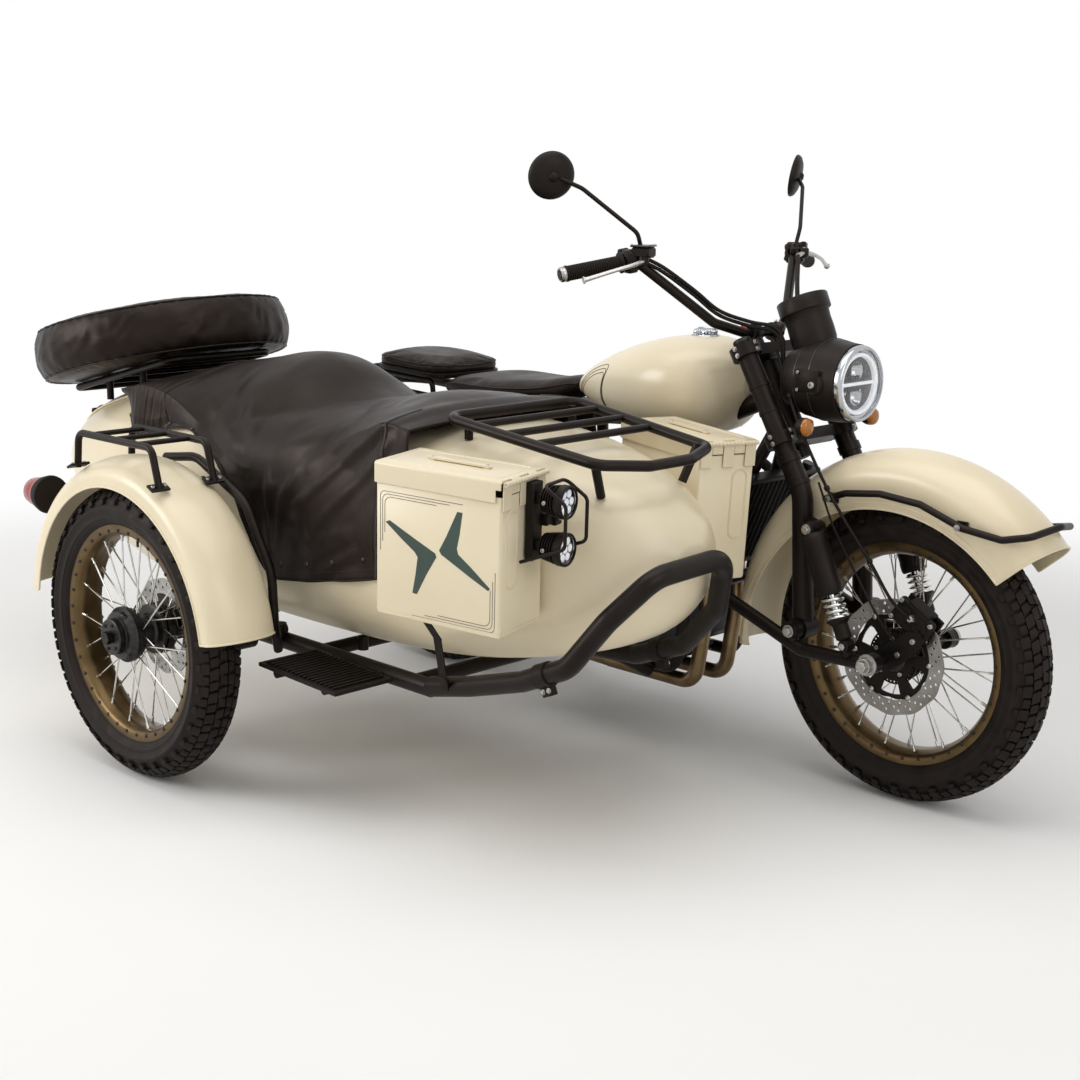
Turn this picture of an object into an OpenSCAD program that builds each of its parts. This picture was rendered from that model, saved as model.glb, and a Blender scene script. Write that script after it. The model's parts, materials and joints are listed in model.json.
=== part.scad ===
// Sidecar motorcycle: a twin-cylinder motorcycle with a one-seat sidecar on its right.
// +X points forward, +Y to the rider's left, +Z up, in millimetres.
// The origin lies on the floor, under the middle of the whole vehicle.

/* [Wheels] */
// Outside radius of all tyres
tyre_r = 330; // [326:1:332]
// Width of all tyres
tyre_w = 112; // [104:1:116]
// Distance between the motorcycle's axles
wheelbase = 1500; // [1490:1:1505]

/* [Sidecar] */
// Thickness of the sidecar body's wall
wall = 8; // [6:1:12]
// Thickness of the sheet that the two side boxes are folded from
sheet = 3; // [2:0.5:4]
// Outside diameter of the nose rack's tube
rack_d = 22; // [18:1:24]
// Outside diameter of the bumper tube
bumper_d = 42; // [36:1:44]

/* [Front end] */
// Rake of the steering axis, measured from vertical
rake = 30; // [29:0.5:31]
// Outside diameter of the fork legs
leg_d = 46; // [40:1:48]
// Outside diameter of the handlebar
bar_d = 22; // [20:1:25]

/* [Hidden] */
$fn = 40;

cream = "#ded3b4";
black = "#1d1d1f";
// Where the sidecar wheel touches the floor, seen from the origin
home = [-313.26, -750.94, 0];
// Middle planes of the motorcycle and of the sidecar body, from the sidecar wheel's
bike_y = 1114;
car_y = 500;
// Front and rear axles
front_x = 1265;
rear_x = front_x - wheelbase;
// A point on the steering axis and the axis's direction
steer_p = [943, 0, 748.5];
steer_u = [-sin(rake), 0, cos(rake)];

// ---------- shared shapes ----------

function unit(v) = v / norm(v);
function sgn(x) = x < 0 ? -1 : 1;
// Value at x of the broken line through pairs [x, value], smoothed at its corners
function ease(x, k, i = 0) = x <= k[0][0] ? k[0][1] : x >= k[len(k) - 1][0] ? k[len(k) - 1][1]
    : x <= k[i + 1][0] ? herm(x, k, i) : ease(x, k, i + 1);
function slope(k, i) = i <= 0 || i >= len(k) - 1 ? (i <= 0 ? (k[1][1] - k[0][1]) / (k[1][0] - k[0][0])
    : (k[i][1] - k[i - 1][1]) / (k[i][0] - k[i - 1][0]))
    : (k[i + 1][1] - k[i - 1][1]) / (k[i + 1][0] - k[i - 1][0]);
function herm(x, k, i) = let (h = k[i + 1][0] - k[i][0], t = (x - k[i][0]) / h)
    (2 * t^3 - 3 * t^2 + 1) * k[i][1] + (t^3 - 2 * t^2 + t) * h * slope(k, i)
    + (3 * t^2 - 2 * t^3) * k[i + 1][1] + (t^3 - t^2) * h * slope(k, i + 1);
// Closed section across X: half width w, from z0 to z1, corner power p, ring of n points
function ring(x, y, w, z0, z1, p, n) = [for (i = [0:n - 1]) let (a = 360 * i / n)
    [x, y + w * sgn(cos(a)) * pow(abs(cos(a)), 2 / p),
        (z0 + z1) / 2 + (z1 - z0) / 2 * sgn(sin(a)) * pow(abs(sin(a)), 2 / p)]];
function centre(r) = [for (j = [0:2]) let (s = [for (q = r) q[j]]) (max(s) + min(s)) / 2];

// Solid skinned over rings of equally many points
module skin(rings) {
    n = len(rings[0]);
    m = len(rings);
    points = [for (r = rings) each r, centre(rings[0]), centre(rings[m - 1])];
    faces = [for (i = [0:m - 2], j = [0:n - 1]) each
        [[i * n + j, (i + 1) * n + j, i * n + (j + 1) % n],
         [i * n + (j + 1) % n, (i + 1) * n + j, (i + 1) * n + (j + 1) % n]],
        for (j = [0:n - 1]) [m * n, j, (j + 1) % n],
        for (j = [0:n - 1]) [m * n + 1, (m - 1) * n + (j + 1) % n, (m - 1) * n + j]];
    polyhedron(points, faces);
}

// Moves a shape from the sidecar wheel's floor point to the origin
module place() translate(home) children();
// Works about the motorcycle's middle plane
module bike() place() translate([0, bike_y, 0]) children();
// Works about the sidecar body's middle plane
module car() place() translate([0, car_y, 0]) children();
// A shape and its mirror image across the middle plane
module both() { children(); mirror([0, 1, 0]) children(); }
// Turns Z to the direction v
module along(v) rotate([0, acos(v.z / norm(v)), atan2(v.y, v.x)]) children();
// Straight round bar from a to b
module bar(a, b, d) translate(a) along(b - a) cylinder(h = norm(b - a), d = d);
// Bar along Y centred on p
module crossbar(p, len, d) translate([p.x, p.y - len / 2, p.z]) rotate([-90, 0, 0]) cylinder(h = len, d = d);
// Bent tube through the points p, with bends of radius r
// The bends are a hair thicker than the straights, which reach a little way into them
module pipe(p, d, r) {
    n = len(p);
    trim = [for (i = [0:n - 1]) i == 0 || i == n - 1 ? 0 : r * tan(turn(p, i) / 2) - 1.2];
    for (i = [0:n - 2]) {
        u = unit(p[i + 1] - p[i]);
        bar(p[i] + u * trim[i], p[i + 1] - u * trim[i + 1], d);
    }
    for (i = [1:n - 2]) bend(p[i - 1], p[i], p[i + 1], d + 0.3, r);
}
function turn(p, i) = let (c = unit(p[i] - p[i - 1]) * unit(p[i + 1] - p[i])) acos(min(1, max(-1, c)));
module bend(a, b, c, d, r) {
    u = unit(b - a);
    w = unit(c - b);
    f = acos(u * w);
    o = b + unit(w - u) * r / cos(f / 2);
    x = unit(b - u * r * tan(f / 2) - o);
    z = cross(x, u);
    multmatrix([[x.x, u.x, z.x, o.x], [x.y, u.y, z.y, o.y], [x.z, u.z, z.z, o.z], [0, 0, 0, 1]])
        rotate_extrude(angle = f) translate([r, 0]) circle(d = d);
}

// ---------- wheels ----------

// A wheel's shapes are drawn about Z and then turned to the axle
module at_wheel(x, y) place() translate([x, y, tyre_r]) rotate([90, 0, 0]) children();

module tyre_shape() {
    w = tyre_w / 2;
    rotate_extrude($fn = 96) polygon([[229.3, -34.7], [243, -34.7], [254, -w + 14], [270, -w + 3],
        [284, -w], [300, -w + 3], [tyre_r - 15, -w + 11], [tyre_r - 5, -w + 24], [tyre_r, -w + 42],
        [tyre_r, w - 42], [tyre_r - 5, w - 24], [tyre_r - 15, w - 11], [300, w - 3],
        [284, w], [270, w - 3], [254, w - 14], [243, 34.7], [229.3, 34.7]]);
}

// Rim, spokes and hub; the hub is bored for the axle
module rim_shape(hub) {
    rotate_extrude($fn = 96) polygon([[222, -38], [242.5, -38], [242.5, -35], [229, -35], [229, -22],
        [223, -14], [223, 14], [229, 22], [229, 35], [242.5, 35], [242.5, 38], [222, 38],
        [214, 14], [214, -14]]);
    difference() {
        union() {
            rotate_extrude() polygon(hub);
            for (i = [0:35]) let (s = i % 2 == 0 ? 1 : -1, a = i * 10, b = a + (i % 4 < 2 ? 24 : -24))
                bar([46 * cos(b), 46 * sin(b), 27 * s], [217 * cos(a), 217 * sin(a), 8 * s], 4, $fn = 16);
        }
        translate([0, 0, -120]) cylinder(h = 240, r = 10.06);
    }
}

module front_tyre() color("#232323") at_wheel(front_x, bike_y) tyre_shape();
module front_rim() color("#6b5a3a") at_wheel(front_x, bike_y)
    rim_shape([[8, -46], [30, -46], [34, -34], [54, -32], [54, -22], [34, -18], [34, 18], [54, 22],
        [54, 32], [46, 34], [46, 52], [30, 54], [8, 54]]);
module rear_tyre() color("#232323") at_wheel(rear_x, bike_y) tyre_shape();
module rear_rim() color("#6b5a3a") at_wheel(rear_x, bike_y)
    rim_shape([[8, -80], [77, -80], [77, -72], [50, -70], [60, -54], [66, -34], [54, -32], [54, -22], [34, -18],
        [34, 18], [54, 22], [54, 32], [66, 36], [66, 52], [110, 60], [110, 64], [40, 64], [30, 66], [8, 66]]);
module sidecar_tyre() color("#232323") at_wheel(0, 0) tyre_shape();
module sidecar_rim() color("#6b5a3a") at_wheel(0, 0)
    rim_shape([[8, -62], [110, -62], [110, -58], [60, -56], [58, -40], [58, -24], [50, -18], [50, 20], [62, 24],
        [62, 48], [54, 60], [40, 64], [40, 80], [8, 80]]);

module front_brake_disc() color("#8f8f8f") at_wheel(front_x, bike_y) difference() {
    union() {
        translate([0, 0, 66]) cylinder(h = 5, r = 128);
        translate([0, 0, 54.2]) cylinder(h = 12, r = 60);
    }
    translate([0, 0, 50]) cylinder(h = 30, r = 30);
    for (i = [0:5]) rotate(60 * i + 30) translate([88, 0, 50]) cylinder(h = 30, r = 12);
}

// ---------- steering ----------

// Point on the steering axis, t along it, f forward of it and y aside
function stem(t, f, y) = steer_p + steer_u * t + [cos(rake), 0, sin(rake)] * f + [0, y, 0];
// Works in the steering axis's own frame: X forward, Z up along the axis
module steered() bike() translate(steer_p) rotate([0, -rake, 0]) children();

module steering_fork() color(black) {
    steered() {
        translate([0, 0, -40]) cylinder(h = 250, r = 14.94);
        for (z = [-14, 196]) translate([0, 0, z]) difference() {
            union() {
                cylinder(h = 26, r = 28);
                translate([5, -112, 0]) cube([50, 224, 26]);
                both() translate([45, 112, 0]) cylinder(h = 26, r = 34);
            }
            translate([0, 0, -1]) cylinder(h = 28, r = 10);
        }
        both() translate([45, 112, 222]) cylinder(h = 10, r = 20);
        both() translate([27, 38, 215]) cylinder(h = 31, r = 14);
    }
    bike() both() {
        pipe([stem(222, 45, 112), stem(-128, 45, 112), [1062, 112, 372]], leg_d, 90);
        translate([1064, 112, 365]) rotate([90, 0, 0]) cylinder(h = 46, r = 25, center = true);
        bar([1064, 112, 602], [1106, 130, 598], 26);
        crossbar([1106, 134, 598], 20, 28);
    }
}

module leading_link() color(black) bike() {
    difference() {
        pipe([[1266, 152, 330], [1090, 152, 326], [868, 152, 408], [806, 96, 418], [806, -96, 418],
            [868, -152, 408], [1090, -152, 326], [1266, -152, 330]], 30, 50);
        crossbar([front_x, 0, tyre_r], 400, 19);
    }
    both() {
        bar([1066, 152, 334], [1066, 152, 372], 26);
        crossbar([1064, 152, 365], 30, 36);
        bar([1211, 152, 330], [1211, 152, 347], 26);
        crossbar([front_x, 146, tyre_r], 26, 44);
    }
    crossbar([front_x, 0, tyre_r], 330, 20);
    both() crossbar([front_x, 168, tyre_r], 14, 30, $fn = 6);
}

module front_shocks() color(black) bike() both() {
    a = [1106, 160, 598];
    b = [1211, 160, 362];
    u = unit(b - a);
    bar(a + u * 14, a + u * 165, 58);
    bar(a + u * 160, b - u * 12, 34);
    crossbar(a, 30, 30);
    crossbar(b, 24, 26);
    for (i = [0:2]) translate(a + u * (176 + 13 * i)) along(u) rotate_extrude() translate([19.5, 0]) circle(d = 7);
}

// Arched sheet over a wheel: r crown radius, w half width, c height of the crown's curve,
// d depth of the sides, t thickness, from angle a0 (0 is forward, 90 is up) over span
module arch(r, w, c, d, t, a0, span) rotate([90, 0, 0]) rotate(a0) rotate_extrude(angle = span, $fn = 96)
    difference() {
        polygon(arch_area(r, w, c, d));
        polygon(arch_area(r - t, w - t, c - t, d + 10));
    }
function arch_area(r, w, c, d) = [[r - d, w], for (a = [0:12:180]) [r - c + c * sin(a), w * cos(a)], [r - d, -w]];

module front_fender() color(cream) bike() {
    difference() {
        translate([front_x, 0, tyre_r]) arch(440, 84, 66, 128, 3, 40, 147);
        translate([front_x - 20, 0, tyre_r - 50]) rotate([90, 0, 0])
            cylinder(h = 400, r = 368, center = true, $fn = 96);
    }
    // stubs that carry it on the fork legs
    both() bar([1078, 82, 640], [1078, 94, 640], 18);
}

module fender_rail() color(black) bike() {
    pipe([[1096, 101, 653], [1150, 102, 673], [1236, 102, 684], [1334, 102, 676], [1433, 100, 641],
        [1522, 96, 630], [1576, 80, 642], [1596, 0, 655], [1576, -80, 642], [1522, -96, 630],
        [1433, -100, 641], [1334, -102, 676], [1236, -102, 684], [1150, -102, 673], [1096, -101, 653]], 15, 22);
    both() for (p = [[1110, 91, 656], [1427, 91, 642]]) crossbar(p, 13, 12);
}

module headlamp() color("#c9ccd0") bike() translate([1101, 0, 893]) rotate([0, 90, 0]) {
    translate([0, 0, -60]) cylinder(h = 52, r1 = 60, r2 = 80);
    translate([0, 0, -8]) cylinder(h = 16, r = 83);
    translate([0, 0, 8]) cylinder(h = 4, r = 70);
}

module lamp_shell() color(black) bike() {
    difference() {
        skin([ring(955, 0, 84, 826, 962, 2.6, 28), ring(985, 0, 90, 815, 975, 2.4, 28),
            ring(1030, 0, 90, 806, 985, 2.2, 28), ring(1070, 0, 87, 806, 980, 2, 28),
            ring(1092, 0, 85, 808, 978, 2, 28)]);
        translate([1038, 0, 893]) rotate([0, 90, 0]) cylinder(h = 200, r = 81);
        translate([940, -70, 800]) cube([90, 140, 160]);
    }
}

module gauge_pod() color(black) bike() translate([975, 0, 985]) rotate([0, -24, 0]) {
    cylinder(h = 62, r = 48);
    translate([0, 0, 62]) cylinder(h = 26, r = 56);
}

module bar_path(d) pipe([[628, 445, 1118], [700, 285, 1148], [800, 130, 1010], [838, 60, 985],
    [838, -60, 985], [800, -130, 1010], [700, -285, 1148], [628, -445, 1118]], d, 40);
module handlebar() color(black) bike() {
    bar_path(bar_d);
}

module hand_controls() color(black) bike() difference() {
    both() controls();
    bar_path(bar_d + 0.8);
}
module controls() {
    g = unit([-72, 160, -30]);
    a = [688, 311, 1143];
    bar(a + g * 4, a + g * 138, 34);
    bar(a - g * 26, a - g * 2, 42);
    bar(a + [42, -14, 6], a + [40, -34, 4], 26);
    pipe([a + [42, 0, 0], a + [38, 30, -6], a + [2, 122, -34]], 12, 20);
}

module mirrors() color(black) bike() both() {
    pipe([[712, 272, 1158], [712, 290, 1206], [640, 390, 1300], [600, 424, 1322]], 10, 30);
    translate([591, 431, 1325]) rotate([0, -80, 27]) cylinder(h = 20, r = 52, center = true);
}

module front_indicators() color("#c8742a") bike() both() {
    translate([1032, 122, 806]) rotate([0, 90, 0]) cylinder(h = 36, r = 20);
    bar([1046, 96, 812], [1046, 112, 808], 12);
}

module brake_caliper() color(black) bike() {
    translate([1322, -92, 424]) rotate([0, -58, 0]) translate([-32, 0, -52]) difference() {
        cube([68, 40, 104]);
        translate([-1, 15.5, -1]) cube([57, 16, 106]);
    }
}

module control_cables() color("#141414") bike() both() {
    pipe([[745, 240, 1124], [822, 142, 1030], [862, 86, 1006], [938, 60, 990], [940, 58, 850]], 9, 22);
}

// ---------- motorcycle ----------

module bike_frame() color(black) bike() {
    difference() {
        translate(steer_p) along(steer_u) translate([0, 0, 16]) cylinder(h = 176, r = 30);
        translate(steer_p) along(steer_u) cylinder(h = 260, r = 15);
    }
    backbone(44);
    both() {
        // seat rails, cradle and rear struts
        pipe([[330, 70, 738], [150, 105, 728], [-420, 105, 752], [-470, 60, 756], [-470, -2, 756]], 26, 50);
        pipe([stem(40, -30, 24), [745, 112, 420], [700, 112, 190], [330, 112, 190],
            [205, 138, 290], [198, 138, 460], [250, 110, 640], [264, 90, 722]], 30, 44);
        pipe([[198, 138, 430], [80, 112, 540], [-150, 106, 724]], 20, 60);
        crossbar([205, 130, 330], 17.4, 36);
        // rack under the pillion seat
        pipe([[-164, 104, 742], [-170, 104, 788], [-440, 104, 799.6], [-452, 60, 800], [-452, -2, 800]], 14, 20);
    }
    crossbar([300, 0, 742], 160, 26);
    crossbar([205, 0, 330], 160, 40);
    crossbar([630, 0, 194], 220, 24);
    crossbar([350, 0, 194], 220, 24);
    crossbar([262, 0, 722], 180, 24);
    crossbar([-180, 0, 741], 220, 20);
    for (x = [-230, -320, -400]) crossbar([x, 0, 790 - (x + 170) * 0.042], 200, 12);
}
module backbone(d) pipe([stem(120, -34, 0), [700, 0, 770], [300, 0, 742]], d, 120);

module engine_block() color("#2b2b2d") bike() {
    translate([332, -150, 216]) cube([336, 300, 190]);
    translate([440, -130, 380]) rotate([0, 12, 0]) cube([220, 260, 262]);
    both() translate([560, 150, 310]) rotate([-90, 0, 0]) cylinder(h = 34, r = 84);
    both() translate([410, 150, 300]) rotate([-90, 0, 0]) cylinder(h = 26, r = 66);
}

module radiator() color("#18181a") bike() translate([784, 0, 463]) rotate([0, 23.6, 0]) {
    translate([0, -150, 0]) cube([32, 300, 235]);
    both() translate([16, 110, 235]) cylinder(h = 12, r = 14);
}

module exhaust_system() color("#8a7352") bike() {
    for (y = [-56, 56]) pipe([[699, y, 520], [742, y, 500], [744, y, 330], [714, y, 146], [440, y, 146]], 36, 46);
    pipe([[440, 56, 146], [330, 66, 146], [220, 150, 160], [120, 190, 210]], 40, 60);
    pipe([[440, -56, 146], [330, -50, 146], [236, 120, 154]], 34, 50);
    bar([124, 190, 213], [-420, 206, 330], 96);
    bar([-420, 206, 330], [-449.317, 206.862, 336.305], 50);
}

module fuel_tank() color(cream) bike() difference() {
    skin([for (x = [300, 308, 325, 355, 400, 460, 530, 600, 660, 715, 755, 782, 800, 808])
        ring(x, 0, ease(x, [[300, 22], [325, 60], [400, 106], [520, 148], [640, 164], [730, 140],
            [778, 84], [808, 26]]), ease(x, [[300, 800], [400, 768], [530, 748], [735, 748], [778, 780], [808, 838]]),
            ease(x, [[300, 832], [355, 872], [460, 922], [560, 952], [650, 966], [725, 960],
            [778, 932], [808, 882]]), 2.25, 32)]);
    translate([200, -36, 700]) cube([700, 72, 100]);
    backbone(54);
    translate([670, 0, 962]) cylinder(h = 20, r = 33);
    saddle_block(0.6);
}

module fuel_cap() color("#c9ccd0") bike() {
    translate([670, 0, 962.4]) cylinder(h = 8, r = 32);
    translate([670, 0, 970]) cylinder(h = 12, r = 26);
}

// Rider's seat, swelled by e to cut its room out of the tank
module saddle_block(e) skin([for (x = [-150 - e, -140, -110, -50, 30, 110, 190, 260, 300, 316, 322 + e])
    ring(x, 0, e + ease(x, [[-150, 60], [-110, 118], [30, 146], [110, 142], [200, 108], [322, 60]]),
        -e + ease(x, [[-150, 758], [-50, 752], [110, 752], [260, 768], [322, 790]]),
        e + ease(x, [[-150, 776], [-110, 802], [-20, 818], [100, 818], [200, 824], [290, 838], [322, 832]]),
        2.8, 28)]);
module saddle() color("#1c1a19") bike() difference() {
    saddle_block(0);
    translate([-200, -200, 700]) cube([600, 400, 55.4]);
    backbone(46);
}

module pillion_seat() color("#1c1a19") bike() translate([-262, 0, 800]) rotate([0, 2.4, 0]) {
    skin([for (i = [0:6]) let (z = [0, 6, 20, 34, 44, 49, 50][i], k = [0.9, 0.97, 1, 1, 0.97, 0.92, 0.84][i])
        [for (a = [0:12:348]) [138 * k * sgn(cos(a)) * pow(abs(cos(a)), 0.36),
            124 * k * sgn(sin(a)) * pow(abs(sin(a)), 0.36), z]]]);
}

module side_covers() color(cream) bike() both()
    translate([10, 140, 560]) rotate([90, 0, 0]) linear_extrude(height = 14)
        polygon([[-105, 30], [-70, 140], [120, 150], [110, 20], [60, -80], [-10, -90]]);

module rear_fender() color(cream) bike() {
    translate([rear_x, 0, tyre_r]) arch(398, 80, 50, 78, 3, 12, 160);
    translate([-180, 0, 712]) cylinder(h = 18.6, r = 16);
}

module tail_lamp() color("#7d1414") bike() {
    translate([-610.5, 0, 500]) rotate([0, -90, 0]) cylinder(h = 54, r = 34);
    both() {
        bar([-636, 0, 512], [-636, 96, 512], 12);
        translate([-656, 104, 512]) rotate([0, 90, 0]) cylinder(h = 40, r = 19);
    }
}

module rear_swingarm() color(black) bike() {
    both() {
        bar([205, 101, 330], [rear_x, 101, 330], 34);
        crossbar([205, 101, 330], 40, 46);
        crossbar([rear_x, 101, 330], 34, 56);
        bar([-150, 104, 330], [-150, 134, 330], 24);
    }
    crossbar([130, 0, 330], 200, 40);
    crossbar([rear_x, 0, 330], 250, 20);
    both() crossbar([rear_x, 124, 330], 14, 30, $fn = 6);
}

module shock(a, b, d) {
    u = unit(b - a);
    n = norm(b - a);
    bar(a + u * 8, a + u * (n * 0.42), d);
    bar(a + u * 8, b - u * 8, d * 0.7);
    for (i = [0:5]) translate(a + u * (n * (0.46 + 0.075 * i))) along(u)
        rotate_extrude() translate([d * 0.4, 0]) circle(d = 7);
    crossbar(a, 24, 26);
    crossbar(b, 24, 26);
}

module shock_absorbers() color(black) {
    bike() both() shock([-178, 134, 716], [-150, 134, 356], 50);
    place() shock([-30, 150, 640], [-10, 150, 372], 44);
}

module drive_chain() color("#4a4a4c") bike() translate([0, 80, 0]) rotate([90, 0, 0]) difference() {
    linear_extrude(height = 10) chain_area(0);
    translate([0, 0, -5]) linear_extrude(height = 20) chain_area(11);
}
// Outline of the chain's run round both sprockets, drawn in by d
module chain_area(d) {
    translate([rear_x, 330]) circle(r = 93 - d);
    translate([284, 320]) circle(r = 44 - d);
    polygon([[rear_x + 9, 330 + 92.4 - d], [288, 363.6 - d], [288, 276.4 + d], [rear_x + 9, 330 - 92.4 + d]]);
}

module foot_pegs() color("#2a2a2c") bike() {
    both() {
        bar([250, 124, 300], [250, 236, 296], 30);
        bar([-60, 150, 332], [-60, 222, 330], 26);
    }
    pipe([[330, 190, 290], [420, 190, 284], [428, 222, 284]], 12, 12);
    pipe([[330, -190, 290], [420, -190, 284], [428, -222, 284]], 12, 12);
}

// ---------- sidecar ----------

// Half width, underside, top and corner power of the sidecar body along X
function tub_w(x) = ease(x, [[-835, 176], [-740, 222], [-600, 258], [-400, 286], [0, 296], [400, 296],
    [700, 276], [900, 236], [1050, 172], [1130, 110], [1166, 40]]);
function tub_low(x) = ease(x, [[-835, 500], [-740, 424], [-600, 376], [-400, 340], [-100, 322], [400, 322],
    [700, 338], [900, 376], [1050, 430], [1130, 500], [1166, 572]]);
function tub_top(x) = ease(x, [[-835, 668], [-740, 738], [-600, 782], [-450, 804], [-300, 812], [300, 822],
    [520, 824], [700, 816], [900, 790], [1050, 742], [1130, 690], [1166, 636]]);
function tub_p(x) = ease(x, [[-835, 2.3], [-600, 2.5], [-300, 3.2], [500, 3.2], [900, 2.7], [1166, 2.2]]);
tub_x = [-835, -820, -785, -735, -660, -560, -450, -300, -150, 0, 200, 400, 550, 700, 800, 900, 980,
    1050, 1095, 1130, 1152, 1166];
// The body's outline, drawn in by d
module tub_skin(d, n) skin([for (x = tub_x) ring(x < 0 ? max(x, x + d * (x < -700 ? 1 : 0)) : x - (x > 1000 ? d : 0),
    0, tub_w(x) - d, tub_low(x) + d, tub_top(x) - d, tub_p(x), n)]);

module sidecar_tub() color(cream) car() difference() {
    tub_skin(0, 28);
    tub_skin(wall, 28);
    // cockpit opening under the soft cover and the trunk's mouth
    translate([-330, -205, 740]) cube([860, 410, 200]);
    translate([-770, -150, 600]) cube([330, 300, 300]);
}

// Soft cover over the cockpit: a cap over the opening and a layer down both sides
module tonneau_cover() color("#1b1816") car() difference() {
    union() {
        skin([for (x = [-425, -416, -380, -333, -230, -120, -30, 50, 90, 130, 180, 230, 270, 330, 400, 470,
            540, 600, 628, 640]) ring(x, 0, ease(x, [[-425, 236], [-333, 268], [0, 272], [640, 266]]), 640,
            ease(x, [[-425, 806], [-333, 848], [-120, 892], [50, 916], [130, 894], [190, 862], [250, 832],
            [330, 840], [470, 866], [600, 862], [640, 836]]), 2.1, 28)]);
        intersection() {
            tub_skin(-7, 28);
            rotate([90, 0, 0]) linear_extrude(height = 700, center = true)
                polygon([[-425, 770], [-130, 750], [27, 690], [150, 548], [200, 450], [560, 512], [640, 560],
                    [640, 900], [-425, 900]]);
        }
    }
    tub_skin(-0.6, 28);
}

module nose_rack() color(black) car() {
    pipe([[860.5, 174.5, 825], [661, 187, 850], [661, -187, 850], [1060, -162, 800],
        [1100, -60, 792], [1100, 60, 792], [1060, 162, 800], [860.5, 174.5, 825]], rack_d, 36);
    for (x = [735, 815, 895]) crossbar([x, 0, 850 - (x - 661) * 0.126], 2 * (187 - (x - 661) * 0.07), 16);
    both() {
        bar([690, 150, 846], [690, 150, 804.8], 18);
        bar([1040, 150, 802], [1029, 119, 730], 18);
    }
}

// One side box: f front outer edge, turned in by toe
box_l = 286;
box_t = 144;
box_h = 295;
box_toe = 13;
module at_box(side) car() mirror([0, side, 0]) translate([1003, -362, 487])
    rotate([2, 2.3, box_toe]) children();
hinge = [8, 0, box_h + 2];
knuckle = box_t / 5;
module box_shape() {
    difference() {
        translate([-box_l, 0, 0]) cube([box_l, box_t, box_h - 24]);
        translate([-box_l + sheet, sheet, sheet]) cube([box_l - 2 * sheet, box_t - 2 * sheet, box_h]);
    }
    // the hinge's fixed leaf, its three knuckles and the pin
    for (i = [0, 2, 4]) {
        translate([0, i * knuckle, box_h - 50]) cube([4, knuckle, 52]);
        translate(hinge + [0, i * knuckle, 0]) rotate([-90, 0, 0]) cylinder(h = knuckle, r = 5);
    }
    translate(hinge) rotate([-90, 0, 0]) cylinder(h = box_t, r = 2.4);
}
module lid_shape() {
    difference() {
        union() {
            translate([-box_l - 4, -4, box_h - 34]) cube([box_l + 8, box_t + 8, 42]);
            for (i = [1, 3]) translate(hinge + [0, i * knuckle, 0]) {
                rotate([-90, 0, 0]) cylinder(h = knuckle, r = 5);
                translate([-6, 0, 2.6]) cube([6, knuckle, 2.4]);
            }
        }
        translate([-box_l - 1, -1, box_h - 40]) cube([box_l + 2, box_t + 2, 45]);
        translate([-6, -10, box_h - 40]) cube([9, box_t + 20, 36]);
        translate([-0.6, -10, box_h - 40]) cube([4.9, box_t + 20, 44.4]);
        for (i = [0, 2, 4]) translate([-1, i * knuckle - 0.5, box_h - 4]) cube([20, knuckle + 1, 20]);
        translate(hinge - [0, 10, 0]) rotate([-90, 0, 0]) cylinder(h = box_t + 20, r = 2.46);
    }
    translate([-215, box_t / 2 - 6, box_h + 7]) cube([145, 12, 7]);
}
module outer_box() color(cream) at_box(0) box_shape();
module inner_box() color(cream) at_box(1) box_shape();
module outer_box_lid() color(cream) at_box(0) lid_shape();
module inner_box_lid() color(cream) at_box(1) lid_shape();

module spot_lamps() color(black) at_box(0) translate([0, 92, 0]) {
    for (z = [168, 258]) {
        translate([36, 0, z]) rotate([0, 90, 0]) cylinder(h = 52, r1 = 26, r2 = 32);
        bar([z == 168 ? 0.3 : 4.3, 0, z], [40, 0, z], 16);
    }
    bar([22, 0, 168], [22, 0, 258], 14);
    bar([22, 0, 213], [22, 60, 213], 16);
    pipe([[8, -38, 140], [104, -38, 180], [104, -38, 262], [56, -38, 292], [56, 38, 292], [104, 38, 262],
        [104, 38, 180]], 7, 14);
}

module front_bumper() color(black) place() difference() {
    pipe([[690, 238, 306], [820, 236, 336], [970, 232, 380], [1090, 232, 432], [1160, 262, 530],
        [1215, 330, 612], [1208, 540, 618], [1160, 580, 500], [1040, 624, 392], [880, 662, 330], [690, 696, 305]],
        bumper_d, 62);
    translate([600, 100, 200]) cube([100.2, 700, 200]);
}

module sidecar_frame() color(black) place() {
    // lower rails, cross tubes and the four arms to the motorcycle
    bar([-330, 240, 304], [700, 240, 304], 38);
    bar([-330, 700, 304], [700, 700, 304], 38);
    for (x = [-300, -60, 330, 640]) crossbar([x, 470, 304], 460, 32);
    pipe([[560, 700, 304], [600, 790, 292], [640, bike_y - 137.8, 180]], 34, 40);
    bar([40, 700, 304], [190, bike_y - 162, 304], 32);
    pipe([[110, 700, 304], [130, 842, 330], [150, 856, 480], [228, bike_y - 143, 600]], 28, 50);
    pipe([[640, 700, 304], [660, 846, 300], [700, 934, 420], [836, bike_y - 86, 640]], 28, 50);
    // carriers of the tub, and the pivot of the wheel's arm
    for (c = [[-250, 342], [380, 334.6]], y = [320, 680]) bar([c.x, y, 304], [c.x, y, c.y], 24);
    bar([196, 230, 304], [196, 230, 344], 34);
    bar([196, 244, 330], [196, 92, 330], 30);
    pipe([[-60, 244, 312], [-60, 190, 384], [-30, 190, 640]], 22, 40);
    bar([-30, 196, 640], [-30, 172.4, 640], 22);
}

module step_plate() color(black) place() {
    translate([350, 62, 312]) rotate([0, 2, 0]) cube([258, 150, 8]);
    for (x = [400, 560]) bar([x, 70, 304], [x, 220.6, 304], 20);
}

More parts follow.
